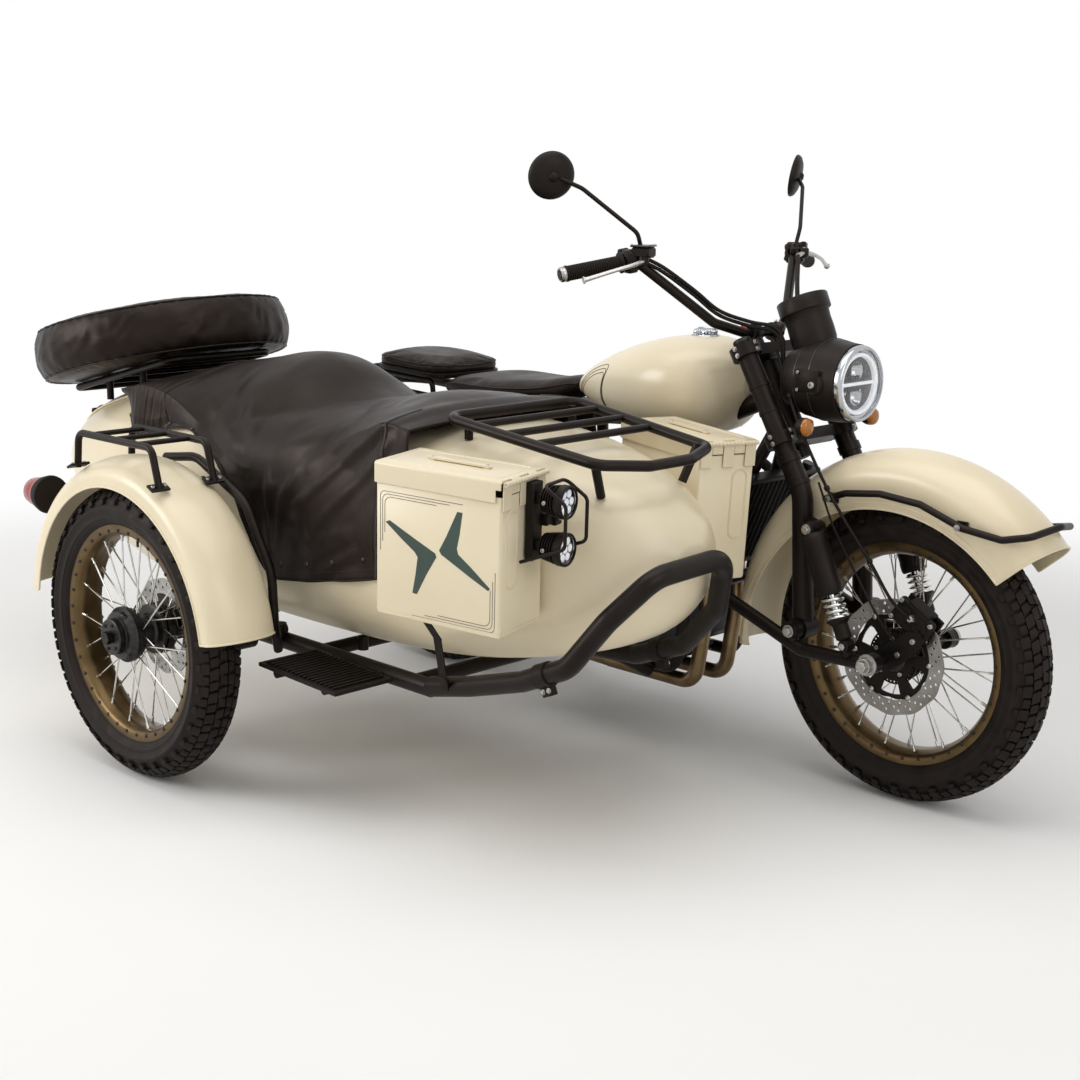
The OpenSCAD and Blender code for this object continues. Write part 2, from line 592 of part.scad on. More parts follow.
module sidecar_fender() color(cream) place() translate([0, 18, tyre_r])
    arch(392, 84, 44, 62, 3, 8, 164);

module fender_rack() color(black) place() {
    for (y = [-52, 84]) pipe([[-150, y, 686], [-140, y, 764], [150, y, 764], [176, y, 676]], 16, 24);
    for (x = [-90, 0, 90]) crossbar([x, 16, 764], 136, 12);
    pipe([[-60, 118, 700], [60, 118, 716], [240, 116, 640], [330, 116, 500], [330, 120, 380], [300, 150, 320]], 20, 90);
}

module sidecar_lamp() color("#7d1414") place() translate([-345, -14, 590]) rotate([0, -90, 0]) {
    cylinder(h = 60, r1 = 40, r2 = 32);
    translate([0, 0, 60]) cylinder(h = 24, r1 = 32, r2 = 24);
}

module sidecar_swingarm() color(black) place() {
    difference() {
        union() {
            pipe([[196, 130, 330], [120, 128, 330], [0, 116, 330]], 40, 50);
            crossbar([0, 108, 330], 40, 70);
            crossbar([196, 130, 330], 50, 52);
        }
        crossbar([196, 130, 330], 80, 30.2);
    }
    crossbar([0, 10, 330], 180, 20);
    crossbar([0, -88, 330], 12, 30, $fn = 6);
    bar([-10, 118, 345], [-10, 162, 345], 26.5);
}

module trunk_lid() color(cream) car() {
    difference() {
        intersection() {
            tub_skin(-5, 28);
            translate([-790, -168, 600]) cube([359, 336, 300]);
        }
        tub_skin(-0.6, 28);
    }
    // straps back to the hinge pins
    both() difference() {
        union() {
            bar([-779, 90, 714], trunk_pin + [0, 90, 0], 12);
            crossbar(trunk_pin + [0, 90, 0], 16, 18);
        }
        crossbar(trunk_pin + [0, 90, 0], 40, 8.12);
    }
}

// Hinge of the trunk lid: brackets on the tub's rear end and their pins
trunk_pin = [-847, 0, 692];
module trunk_hinges() color(black) car() both() {
    crossbar(trunk_pin + [0, 85, 0], 30, 8);
    translate([-835.3, 80, 600]) rotate([90, 0, 0]) linear_extrude(height = 12)
        polygon([[0, 0], [0, 62], [-4, 100], [-20, 100], [-20, 60], [-8, 0]]);
}

// Underside of the spare wheel, which slopes with the rack
module spare_frame() translate([-630, 0, 822]) rotate([0, -14, 0]) children();
module trunk_rack() color(black) car() {
    spare_frame() {
        both() pipe([[250, -1, -10], [250, 150, -10], [-225, 150, -10], [-232, -1, -10]], 18, 34);
        for (x = [-120, 20, 150]) translate([0, 0, 0]) crossbar([x, 0, -10], 300, 14);
    }
    both() {
        bar([-560, 120, 828], [-560, 120, 786], 18);
        bar([-720, 120, 788], [-720, 120, 739.2], 18);
    }
}

module spare_wheel() color("#181414") car() spare_frame() rotate_extrude($fn = 72)
    polygon([[0, 0], [286, 0], [314, 8], [328, 32], [332, 74], [328, 116], [314, 138], [280, 148],
        [200, 144], [0, 140]]);

bike_frame();
engine_block();
radiator();
exhaust_system();
fuel_tank();
fuel_cap();
saddle();
pillion_seat();
side_covers();
rear_fender();
tail_lamp();
rear_swingarm();
shock_absorbers();
drive_chain();
foot_pegs();
sidecar_frame();
front_bumper();
step_plate();
sidecar_tub();
tonneau_cover();
nose_rack();
outer_box();
inner_box();
spot_lamps();
sidecar_fender();
fender_rack();
sidecar_lamp();
sidecar_swingarm();
outer_box_lid();
inner_box_lid();
trunk_hinges();
trunk_lid();
trunk_rack();
spare_wheel();
steering_fork();
leading_link();
front_shocks();
front_fender();
fender_rail();
headlamp();
lamp_shell();
gauge_pod();
handlebar();
hand_controls();
mirrors();
front_indicators();
brake_caliper();
control_cables();
front_tyre();
front_rim();
front_brake_disc();
rear_tyre();
rear_rim();
sidecar_tyre();
sidecar_rim();
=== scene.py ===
import json
import math

import bmesh
import bpy
from mathutils import Matrix, Vector, noise


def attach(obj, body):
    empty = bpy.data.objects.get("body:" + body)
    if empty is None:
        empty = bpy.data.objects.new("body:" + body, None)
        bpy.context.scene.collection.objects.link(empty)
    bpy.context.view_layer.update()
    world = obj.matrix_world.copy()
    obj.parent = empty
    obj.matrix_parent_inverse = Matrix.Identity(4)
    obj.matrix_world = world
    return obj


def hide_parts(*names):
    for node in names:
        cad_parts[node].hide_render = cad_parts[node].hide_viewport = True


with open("model.json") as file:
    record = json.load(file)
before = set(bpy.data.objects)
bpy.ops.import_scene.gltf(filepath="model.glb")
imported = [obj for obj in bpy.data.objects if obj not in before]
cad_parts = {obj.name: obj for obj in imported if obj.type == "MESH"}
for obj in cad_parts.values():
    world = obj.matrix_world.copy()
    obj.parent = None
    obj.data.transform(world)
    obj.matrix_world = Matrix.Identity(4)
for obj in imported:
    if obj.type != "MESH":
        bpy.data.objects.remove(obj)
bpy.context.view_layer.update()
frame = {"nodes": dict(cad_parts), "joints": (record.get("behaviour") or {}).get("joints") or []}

joints = {j["name"]: Vector(j["pos_m"]) for j in frame["joints"]}
frontAxle = joints["front_wheel_spin"]
rearAxle = joints["rear_wheel_spin"]
sideAxle = joints["sidecar_wheel_spin"]
bikeY = frontAxle.y
carY = sideAxle.y + 0.5
across = Vector((0, 1, 0))
up = Vector((0, 0, 1))


# places in millimetres: x from the sidecar axle, z from the floor, y from a middle plane
def bike(x, y, z):
    return Vector((sideAxle.x + x / 1000, bikeY + y / 1000, z / 1000))


def car(x, y, z):
    return Vector((sideAxle.x + x / 1000, carY + y / 1000, z / 1000))


def outer(x, y, z):
    return Vector((sideAxle.x + x / 1000, sideAxle.y + y / 1000, z / 1000))


def moved(x, y, z):
    return Matrix.Translation((x, y, z))


def turned(angle, axis):  # in degrees
    return Matrix.Rotation(math.radians(angle), 4, axis)


# shapes

class Shape:  # gathers the faces of one piece, each run of faces with its own finish
    def __init__(self):
        self.points, self.faces, self.marks, self.finishes = [], [], [], []

    def add(self, points, faces, finish):
        if finish not in self.finishes:
            self.finishes.append(finish)
        start, mark = len(self.points), self.finishes.index(finish)
        self.points += [tuple(p) for p in points]
        self.faces += [tuple(start + i for i in f) for f in faces]
        self.marks += [mark] * len(faces)


def frameOf(direction, hint=None):  # two unit vectors square to a direction
    d = Vector(direction).normalized()
    h = Vector(hint) if hint is not None else (up if abs(d.z) < 0.9 else Vector((1, 0, 0)))
    a = (h - d * h.dot(d)).normalized()
    return a, d.cross(a)


def tube(shape, path, radius, finish, sides=14, closed=False):
    path = [Vector(p) for p in path]
    n = len(path)
    radii = radius if isinstance(radius, (list, tuple)) else [radius] * n
    points, faces = [], []
    a = None
    for i, p in enumerate(path):
        before = path[i - 1] if i or closed else p
        after = path[(i + 1) % n] if i < n - 1 or closed else p
        d = (after - before).normalized()
        a = frameOf(d)[0] if a is None else (a - d * a.dot(d)).normalized()
        b = d.cross(a)
        for k in range(sides):
            t = math.tau * k / sides
            points.append(p + (a * math.cos(t) + b * math.sin(t)) * radii[i])
    for i in range(n if closed else n - 1):
        for k in range(sides):
            m, j = (i + 1) % n, (k + 1) % sides
            faces.append((i * sides + k, i * sides + j, m * sides + j, m * sides + k))
    if not closed:
        faces.append(tuple(range(sides - 1, -1, -1)))
        faces.append(tuple((n - 1) * sides + k for k in range(sides)))
    shape.add(points, faces, finish)


def bent(points, radius, closed=False, step=12):  # the points joined by straights and round bends
    points = [Vector(p) for p in points]
    n = len(points)
    out = [] if closed else [points[0]]
    for i in range(0 if closed else 1, n if closed else n - 1):
        a, b, c = points[i - 1], points[i], points[(i + 1) % n]
        u, w = (b - a).normalized(), (c - b).normalized()
        turn = u.angle(w, 0)
        if turn < 0.02:
            out.append(b)
            continue
        cut = min(radius * math.tan(turn / 2), (b - a).length * 0.49, (c - b).length * 0.49)
        r = cut / math.tan(turn / 2)
        centre = b + (w - u).normalized() * r / math.cos(turn / 2)
        x = (b - u * cut - centre).normalized()
        count = max(2, round(math.degrees(turn) / step))
        for k in range(count + 1):
            t = turn * k / count
            out.append(centre + (x * math.cos(t) + u * math.sin(t)) * r)
    if not closed:
        out.append(points[-1])
    return out


def smoothPath(points, count=8):  # a smooth curve through the points
    p = [Vector(q) for q in points]
    p = [p[0] * 2 - p[1]] + p + [p[-1] * 2 - p[-2]]
    out = []
    for i in range(1, len(p) - 2):
        for k in range(count):
            t = k / count
            out.append(0.5 * (p[i] * 2 + (p[i + 1] - p[i - 1]) * t
                + (p[i - 1] * 2 - p[i] * 5 + p[i + 1] * 4 - p[i + 2]) * t * t
                + (p[i] * 3 - p[i - 1] - p[i + 1] * 3 + p[i + 2]) * t ** 3))
    return out + [p[-2]]


def mm(rows):
    return [(radius / 1000, height / 1000) for radius, height in rows]


def spun(shape, centre, axis, outline, finish, segments=48, closed=False, hint=None, span=math.tau,
        start=0):
    # outline: (radius, height along the axis) in metres; a radius of 0 makes a pole
    centre, axis = Vector(centre), Vector(axis).normalized()
    a, b = frameOf(axis, hint)
    full = span > math.tau - 0.001
    count = segments if full else segments + 1
    points, rows = [], []
    for r, h in outline:
        if r < 1e-7:
            rows.append([len(points)] * count)
            points.append(centre + axis * h)
            continue
        rows.append([len(points) + k for k in range(count)])
        for k in range(count):
            t = start + span * k / segments
            points.append(centre + axis * h + (a * math.cos(t) + b * math.sin(t)) * r)
    faces = []
    for i in range(len(rows) if closed else len(rows) - 1):
        p, q = rows[i], rows[(i + 1) % len(rows)]
        for k in range(segments):
            j = (k + 1) % count
            f = [p[k], p[j], q[j], q[k]]
            f = [v for m, v in enumerate(f) if v != f[m - 1]]
            if len(f) > 2:
                faces.append(tuple(f))
    if not full:
        faces += [tuple(r[0] for r in rows), tuple(r[-1] for r in reversed(rows))]
    shape.add(points, faces, finish)


def block(shape, place, size, finish, cut=0.0):
    # a box about the origin of the matrix "place", its edges cut back by "cut"
    x, y, z = (s / 2 for s in size)
    c = cut or 1e-5
    points = []
    for sx in (-1, 1):
        for sy in (-1, 1):
            for sz in (-1, 1):
                points += [place @ Vector((sx * x, sy * (y - c), sz * (z - c))),
                    place @ Vector((sx * (x - c), sy * y, sz * (z - c))),
                    place @ Vector((sx * (x - c), sy * (y - c), sz * z))]
    bm = bmesh.new()
    for p in points:
        bm.verts.new(p)
    bmesh.ops.convex_hull(bm, input=list(bm.verts))
    bmesh.ops.dissolve_limit(bm, angle_limit=0.01, verts=list(bm.verts), edges=list(bm.edges))
    bm.verts.index_update()
    shape.add([v.co.copy() for v in bm.verts], [[v.index for v in f.verts] for f in bm.faces], finish)
    bm.free()


def plate(shape, place, outline, low, high, finish):  # a flat outline in the matrix's own x, y
    n = len(outline)
    points = [place @ Vector((x, y, z)) for z in (low, high) for x, y in outline]
    faces = [tuple(range(n)), tuple(range(2 * n - 1, n - 1, -1))]
    faces += [(i, i + n, (i + 1) % n + n, (i + 1) % n) for i in range(n)]
    shape.add(points, faces, finish)


def slab(shape, ring, near, far, finish):  # a ring of points carried sideways between two offsets
    n = len(ring)
    points = [p + across * y for y in (near, far) for p in ring]
    faces = [tuple(range(n)), tuple(range(2 * n - 1, n - 1, -1))]
    faces += [(i, (i + 1) % n, n + (i + 1) % n, n + i) for i in range(n)]
    shape.add(points, faces, finish)


def grid(shape, rows, finish, around=False, ends=False):  # a skin over rows of equally many points
    m, n = len(rows), len(rows[0])
    points = [p for r in rows for p in r]
    faces = []
    for i in range(m - 1):
        for k in range(n if around else n - 1):
            j = (k + 1) % n
            faces.append((i * n + k, i * n + j, (i + 1) * n + j, (i + 1) * n + k))
    if ends:
        faces += [tuple(range(n - 1, -1, -1)), tuple((m - 1) * n + k for k in range(n))]
    shape.add(points, faces, finish)


def lookAt(centre, direction, hint=None):  # a matrix whose Z is the direction
    a, b = frameOf(direction, hint)
    m = Matrix((a, b, Vector(direction).normalized())).transposed().to_4x4()
    m.translation = centre
    return m


def roundRect(w, h, r, count=5):  # outline of a w by h rectangle with round corners
    out = []
    for cx, cy, start in ((w / 2 - r, h / 2 - r, 0), (r - w / 2, h / 2 - r, 90),
            (r - w / 2, r - h / 2, 180), (w / 2 - r, r - h / 2, 270)):
        for k in range(count + 1):
            t = math.radians(start + 90 * k / count)
            out.append((cx + r * math.cos(t), cy + r * math.sin(t)))
    return out


def newPiece(name, mesh):  # an object put in the scene
    piece = bpy.data.objects.new(name, mesh)
    bpy.context.scene.collection.objects.link(piece)
    return piece


def smoothed(mesh, angle):  # smooth faces, sharp where they meet at more than the angle
    mesh.shade_smooth()
    mesh.set_sharp_from_angle(angle=math.radians(angle))


def painted(mesh, finish):
    mesh.materials.clear()
    mesh.materials.append(finish)


def faceUp(mesh, index=0):  # turn the faces over if this one looks down
    if mesh.polygons[index].normal.z < 0:
        mesh.flip_normals()


def newMesh(name, shape, outward=True):
    mesh = bpy.data.meshes.new(name)
    mesh.from_pydata(shape.points, [], shape.faces)
    for finish in shape.finishes:
        mesh.materials.append(finish)
    mesh.polygons.foreach_set("material_index", shape.marks)
    if outward:
        bm = bmesh.new()
        bm.from_mesh(mesh)
        bmesh.ops.recalc_face_normals(bm, faces=bm.faces)
        bm.to_mesh(mesh)
        bm.free()
    return mesh


def build(name, shape, body, angle=38, replaces=()):
    piece = newPiece(name, newMesh(name, shape))
    piece.data.shade_smooth()
    if angle < 180:
        piece.data.set_sharp_from_angle(angle=math.radians(angle))
    return settle(piece, body, replaces)


def settle(piece, body, replaces=()):
    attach(piece, body)
    if replaces:
        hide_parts(*replaces)
    return piece


def ease(x, table):  # smooth value at x of a curve through (x, value) pairs
    if x <= table[0][0]:
        return table[0][1]
    if x >= table[-1][0]:
        return table[-1][1]
    i = max(k for k in range(len(table) - 1) if table[k][0] <= x)
    (x0, v0), (x1, v1) = table[i], table[i + 1]

    def slope(k):
        a, b = table[max(k - 1, 0)], table[min(k + 1, len(table) - 1)]
        return (b[1] - a[1]) / (b[0] - a[0])
    h = x1 - x0
    t = (x - x0) / h
    return ((2 * t ** 3 - 3 * t ** 2 + 1) * v0 + (t ** 3 - 2 * t ** 2 + t) * h * slope(i)
        + (3 * t ** 2 - 2 * t ** 3) * v1 + (t ** 3 - t ** 2) * h * slope(i + 1))


def bell(x, middle, width):
    return math.exp(-((x - middle) / width) ** 2)


# materials

def linear(code):
    rgb = [int(code[i:i + 2], 16) / 255 for i in (1, 3, 5)]
    return [c / 12.92 if c <= 0.04045 else ((c + 0.055) / 1.055) ** 2.4 for c in rgb] + [1]


def addNode(tree, kind, settings=None, links=None):
    node = tree.nodes.new(kind)
    for key, value in (settings or {}).items():
        if isinstance(key, int) or key in node.inputs:
            node.inputs[key].default_value = value
        else:
            setattr(node, key, value)
    for key, source in (links or {}).items():
        tree.links.new(source, node.inputs[key])
    return node


# dark to light in clouds "cloud" mm wide; relief rows are (grain in mm, depth in mm, strength, pattern)
def newFinish(name, dark, light, roughness, metallic=0.0, cloud=60, relief=(), swing=0.05,
        stretch=(1, 1, 1), band=(0.3, 0.7), **sockets):
    material = bpy.data.materials.new(name)
    material.use_nodes = True
    tree = material.node_tree
    shader = tree.nodes["Principled BSDF"]
    shader.inputs["Metallic"].default_value = metallic
    for key, value in sockets.items():
        shader.inputs[key.replace("_", " ")].default_value = value
    place = addNode(tree, "ShaderNodeTexCoord").outputs["Object"]
    laid = addNode(tree, "ShaderNodeMapping", {"Scale": stretch}, {"Vector": place}).outputs[0]
    clouds = addNode(tree, "ShaderNodeTexNoise", {"Scale": 1000 / cloud, "Detail": 4.0}, {"Vector": laid})
    ramp = addNode(tree, "ShaderNodeValToRGB", links={"Fac": clouds.outputs[0]})
    for point, where, code in zip(ramp.color_ramp.elements, band, (dark, light)):
        point.position, point.color = where, linear(code)
    tree.links.new(ramp.outputs[0], shader.inputs["Base Color"])
    sheen = addNode(tree, "ShaderNodeMapRange", {1: 0.35, 2: 0.65, 3: max(0.02, roughness - swing),
        4: roughness + swing}, {0: clouds.outputs[0]})
    tree.links.new(sheen.outputs[0], shader.inputs["Roughness"])
    under = None
    for grain, depth, strength, pattern in relief:
        if pattern == "cells":
            source = addNode(tree, "ShaderNodeTexVoronoi", {"Scale": 1000 / grain}, {"Vector": laid})
        else:
            source = addNode(tree, "ShaderNodeTexNoise", {"Scale": 1000 / grain, "Detail": 3.0},
                {"Vector": laid})
        links = {"Height": source.outputs[0]}
        if under is not None:
            links["Normal"] = under.outputs[0]
        under = addNode(tree, "ShaderNodeBump", {"Distance": depth / 1000, "Strength": strength}, links)
    if under is not None:
        tree.links.new(under.outputs[0], shader.inputs["Normal"])
    return material


def groundDisc():  # stainless disc ground in circles: fine rings about the front axle
    material = newFinish("groundStainless", "#7f7c79", "#a09c97", 0.34, 1.0)
    tree = material.node_tree
    shader = tree.nodes["Principled BSDF"]
    place = addNode(tree, "ShaderNodeTexCoord").outputs["Object"]
    centred = addNode(tree, "ShaderNodeMapping", {"Location": -frontAxle}, {"Vector": place})
    distance = addNode(tree, "ShaderNodeVectorMath", {"operation": "LENGTH"}, {0: centred.outputs[0]})
    # real lines are 0.1 mm apart, drawn coarser to show
    lines = addNode(tree, "ShaderNodeTexNoise", {"noise_dimensions": "1D", "Scale": 1000 / 1.4,
        "Detail": 2.0}, {"W": distance.outputs["Value"]})
    ridge = addNode(tree, "ShaderNodeBump", {"Distance": 0.00005, "Strength": 0.5},
        {"Height": lines.outputs[0]})
    tree.links.new(ridge.outputs[0], shader.inputs["Normal"])
    return material


# weak warm gloss of the blacks
warmSheen = {"Specular_IOR_Level": 0.2, "Specular_Tint": linear("#ffe8da")}

# sprayed enamel on steel: warm cream, soft gloss, faint orange peel
cream = newFinish("sprayedCreamEnamel", "#ddcead", "#e6d9bb", 0.36, cloud=260,
    relief=[(3, 0.03, 0.35, "lumps")], Coat_Weight=0.25, Coat_Roughness=0.16)
# powder coat baked on steel tube: satin black with a fine pebble
satinBlack = newFinish("satinBlackPowder", "#0d0b0a", "#171413", 0.38,
    relief=[(1.6, 0.06, 0.4, "lumps")], **warmSheen)
# coarser powder coat on brackets and plates: duller
matBlack = newFinish("mattBlackPowder", "#0c0b0a", "#151312", 0.5, relief=[(1.4, 0.1, 0.5, "cells")],
    **warmSheen)
# injection-moulded ABS with a spark-eroded texture: dull skin
moulded = newFinish("texturedAbs", "#110f0e", "#1b1817", 0.46, cloud=40,
    relief=[(1.2, 0.08, 0.4, "cells")], **warmSheen)
# polished ABS mouldings: deep black with clear reflections
glossBlack = newFinish("polishedAbs", "#111111", "#191818", 0.2, relief=[(9, 0.03, 0.3, "lumps")])
# moulded nitrile rubber: dull grips, boots and hoses
rubber = newFinish("mouldedRubber", "#0e0d0c", "#171514", 0.6, relief=[(0.9, 0.1, 0.4, "lumps")],
    **warmSheen)
# vinyl-coated polyester: brown black with soft shine and fine creases
vinyl = newFinish("coatedPolyester", "#120d0b", "#1d1714", 0.42, cloud=120, swing=0.07,
    relief=[(40, 2.4, 0.35, "lumps"), (1.8, 0.06, 0.5, "cells")], **warmSheen)
# embossed upholstery leather: pebble grain among fine wrinkles
leather = newFinish("embossedLeather", "#120e0c", "#1e1916", 0.44, cloud=70,
    relief=[(24, 0.9, 0.25, "lumps"), (2.2, 0.25, 0.5, "cells")], **warmSheen)
# twisted nylon thread: dull brown black
threadDark = newFinish("twistedThread", "#26211e", "#3a332e", 0.7, cloud=4,
    relief=[(1, 0.2, 0.6, "lumps")])
# moulded tread rubber: dull, with paler dusty high spots
tread = newFinish("mouldedTreadRubber", "#0f0d0d", "#221e1d", 0.6, cloud=30, swing=0.09,
    relief=[(2, 0.14, 0.5, "lumps")], **warmSheen)
# sand-cast aluminium painted black: pimpled crankcase skin
casting = newFinish("sandCastAlloy", "#1c1c1e", "#2c2c2e", 0.5, 0.3, relief=[(1.8, 0.2, 0.5, "lumps")])
# chromium plate: clear reflections
chrome = newFinish("chromiumPlate", "#a3a6aa", "#bcbec1", 0.11, 1.0, swing=0.03,
    relief=[(60, 0.05, 0.3, "lumps")])
# zinc-plated bolts: grey and slightly cloudy
zinc = newFinish("zincPlate", "#94928e", "#bcbab5", 0.33, 1.0, cloud=6, relief=[(1.5, 0.05, 0.4, "lumps")])
# drawn and polished spoke wire
spokeSteel = newFinish("drawnStainless", "#c2c0bb", "#dcdad5", 0.22, 1.0, cloud=20,
    relief=[(2, 0.02, 0.3, "lumps")])
# bronze-anodised aluminium rim: satin brown metal
bronze = newFinish("bronzeAnodised", "#5a4932", "#6c5a3e", 0.36, 1.0, cloud=40,
    relief=[(1.2, 0.03, 0.4, "lumps")])
# stainless header pipe tinted by heat: straw to brown
heatSteel = newFinish("heatTintedStainless", "#65513a", "#94805f", 0.34, 1.0, cloud=70,
    relief=[(2, 0.03, 0.3, "lumps")])
# machined aluminium, brushed along X: streaks
alloy = newFinish("brushedAluminium", "#a2a19e", "#c6c5c2", 0.3, 1.0, cloud=3, stretch=(0.15, 1, 1),
    relief=[(1.2, 0.04, 0.4, "lumps")])
# black hard-anodised aluminium: dark grey sheen
darkAlloy = newFinish("hardAnodised", "#2f2e2d", "#444240", 0.4, 1.0, cloud=10,
    relief=[(1.4, 0.06, 0.4, "lumps")])
# oiled roller chain: dark steel with worn high spots
chainSteel = newFinish("oiledChainSteel", "#35332f", "#5c5955", 0.38, 1.0, cloud=8,
    relief=[(2, 0.05, 0.4, "lumps")])
groundSteel = groundDisc()
# clear injection-moulded polycarbonate: lamp glasses
lens = newFinish("clearPolycarbonate", "#fbfcfd", "#ffffff", 0.03, swing=0.01, Transmission_Weight=1.0,
    IOR=1.49, relief=[(5, 0.05, 0.15, "lumps")])
# dyed polycarbonate, moulded with fine prisms inside: amber and red lenses
amber = newFinish("amberPolycarbonate", "#d9822a", "#e8983a", 0.14, Transmission_Weight=0.45, IOR=1.49,
    relief=[(6, 0.3, 0.4, "cells")])
redLens = newFinish("redPolycarbonate", "#9a0f0e", "#b01513", 0.14, Transmission_Weight=0.4, IOR=1.49,
    relief=[(6, 0.3, 0.4, "cells")])
# frosted acrylic light guide: milky white, with a faint painted glow (emission) that makes it bright
# though no lamp in it is lit
paintedGlowAcrylic = newFinish("frostedAcrylicPaintedGlow", "#eceef1", "#f7f8f9", 0.35, relief=[(3, 0.1, 0.3, "lumps")],
    Emission_Color=linear("#f4f6ff"), Emission_Strength=0.3)
# screen-printed films under the lacquer: flat, a little glossy
green = newFinish("greenFilm", "#1f352c", "#263f34", 0.4, relief=[(4, 0.02, 0.3, "lumps")],
    Coat_Weight=0.2)
pinstripe = newFinish("brownPinstripe", "#35281b", "#423322", 0.42, cloud=20,
    relief=[(3, 0.02, 0.3, "lumps")])
dialInk = newFinish("paleInk", "#cfcfca", "#deded9", 0.45, cloud=10, relief=[(2, 0.02, 0.3, "lumps")])
# dyed ABS switch buttons
redKnob = newFinish("redAbs", "#a81219", "#bd1a21", 0.35, cloud=10, relief=[(2, 0.05, 0.3, "lumps")])
# silvered mirror glass
mirrorGlass = newFinish("silveredGlass", "#dbe0e1", "#e6e9ea", 0.03, 1.0, swing=0.01,
    relief=[(120, 0.02, 0.2, "lumps")])
print("materials ready")


# node trees for what repeats

def newTree(name, sizes):  # sizes: socket name to socket type
    tree = bpy.data.node_groups.new(name, "GeometryNodeTree")
    tree.interface.new_socket("Geometry", in_out="OUTPUT", socket_type="NodeSocketGeometry")
    for key, kind in {"Geometry": "Geometry", **sizes, "Finish": "Material"}.items():
        tree.interface.new_socket(key, in_out="INPUT", socket_type="NodeSocket" + kind)
    return tree, addNode(tree, "NodeGroupInput")


def endTree(tree, enter, geometry):
    solid = addNode(tree, "GeometryNodeRealizeInstances", {}, {"Geometry": geometry})
    painted = addNode(tree, "GeometryNodeSetMaterial", {},
        {"Geometry": solid.outputs[0], "Material": enter.outputs["Finish"]})
    addNode(tree, "NodeGroupOutput", {}, {0: painted.outputs[0]})
    return tree


def ringTree():  # copies of the input turned about Y at a centre
    tree, enter = newTree("ringCopies", {"Count": "Int", "Centre": "Vector", "Turn": "Float"})
    spots = addNode(tree, "GeometryNodeMeshLine", {"Offset": (0, 0, 0)},
        {"Count": enter.outputs["Count"], "Start Location": enter.outputs["Centre"]})
    index = addNode(tree, "GeometryNodeInputIndex")
    step = addNode(tree, "ShaderNodeMath", {"operation": "DIVIDE", 0: math.tau},
        {1: enter.outputs["Count"]})
    angle = addNode(tree, "ShaderNodeMath", {"operation": "MULTIPLY_ADD"},
        {0: index.outputs[0], 1: step.outputs[0], 2: enter.outputs["Turn"]})
    spin = addNode(tree, "ShaderNodeCombineXYZ", {}, {"Y": angle.outputs[0]})
    copies = addNode(tree, "GeometryNodeInstanceOnPoints", {},
        {"Points": spots.outputs[0], "Instance": enter.outputs["Geometry"], "Rotation": spin.outputs[0]})
    return endTree(tree, enter, copies.outputs[0])


def rowTree():  # copies of the input, a step apart
    tree, enter = newTree("rowCopies", {"Count": "Int", "Step": "Vector"})
    spots = addNode(tree, "GeometryNodeMeshLine", {}, {"Count": enter.outputs["Count"],
        "Offset": enter.outputs["Step"]})
    copies = addNode(tree, "GeometryNodeInstanceOnPoints", {},
        {"Points": spots.outputs[0], "Instance": enter.outputs["Geometry"]})
    return endTree(tree, enter, copies.outputs[0])


def screwTree():  # one screw head on every point, along its aim and of its size
    tree, enter = newTree("screwHeads", {"Head": "Object"})
    aim = addNode(tree, "GeometryNodeInputNamedAttribute", {"data_type": "FLOAT_VECTOR", "Name": "aim"})
    size = addNode(tree, "GeometryNodeInputNamedAttribute", {"data_type": "FLOAT", "Name": "size"})
    aimed = addNode(tree, "FunctionNodeAlignRotationToVector", {"axis": "Z"}, {"Vector": aim.outputs[0]})
    head = addNode(tree, "GeometryNodeObjectInfo", {}, {"Object": enter.outputs["Head"]})
    copies = addNode(tree, "GeometryNodeInstanceOnPoints", {},
        {"Points": enter.outputs["Geometry"], "Instance": head.outputs["Geometry"],
        "Rotation": aimed.outputs[0], "Scale": size.outputs[0]})
    return endTree(tree, enter, copies.outputs[0])


def pathTree():  # units along the input's edges, a spacing apart, lying along them
    tree, enter = newTree("unitsAlong", {"Unit": "Object", "Spacing": "Float"})
    curve = addNode(tree, "GeometryNodeMeshToCurve", {}, {"Mesh": enter.outputs["Geometry"]})
    spots = addNode(tree, "GeometryNodeCurveToPoints", {"mode": "LENGTH"},
        {"Curve": curve.outputs[0], "Length": enter.outputs["Spacing"]})
    unit = addNode(tree, "GeometryNodeObjectInfo", {}, {"Object": enter.outputs["Unit"]})
    copies = addNode(tree, "GeometryNodeInstanceOnPoints", {},
        {"Points": spots.outputs["Points"], "Instance": unit.outputs["Geometry"],
        "Rotation": spots.outputs["Rotation"]})
    return endTree(tree, enter, copies.outputs[0])


def coilTree():  # a helical spring standing on Z
    tree, enter = newTree("springCoil", {"Turns": "Float", "Radius": "Float", "Height": "Float",
        "Wire": "Float"})
    helix = addNode(tree, "GeometryNodeCurveSpiral", {"Resolution": 28},
        {"Rotations": enter.outputs["Turns"], "Start Radius": enter.outputs["Radius"],
        "End Radius": enter.outputs["Radius"], "Height": enter.outputs["Height"]})
    wire = addNode(tree, "GeometryNodeCurvePrimitiveCircle", {"Resolution": 10},
        {"Radius": enter.outputs["Wire"]})
    skin = addNode(tree, "GeometryNodeCurveToMesh", {"Fill Caps": True},
        {"Curve": helix.outputs[0], "Profile Curve": wire.outputs[0]})
    return endTree(tree, enter, skin.outputs[0])


ringCopies, rowCopies, screwHeads = ringTree(), rowTree(), screwTree()
unitsAlong, springCoil = pathTree(), coilTree()


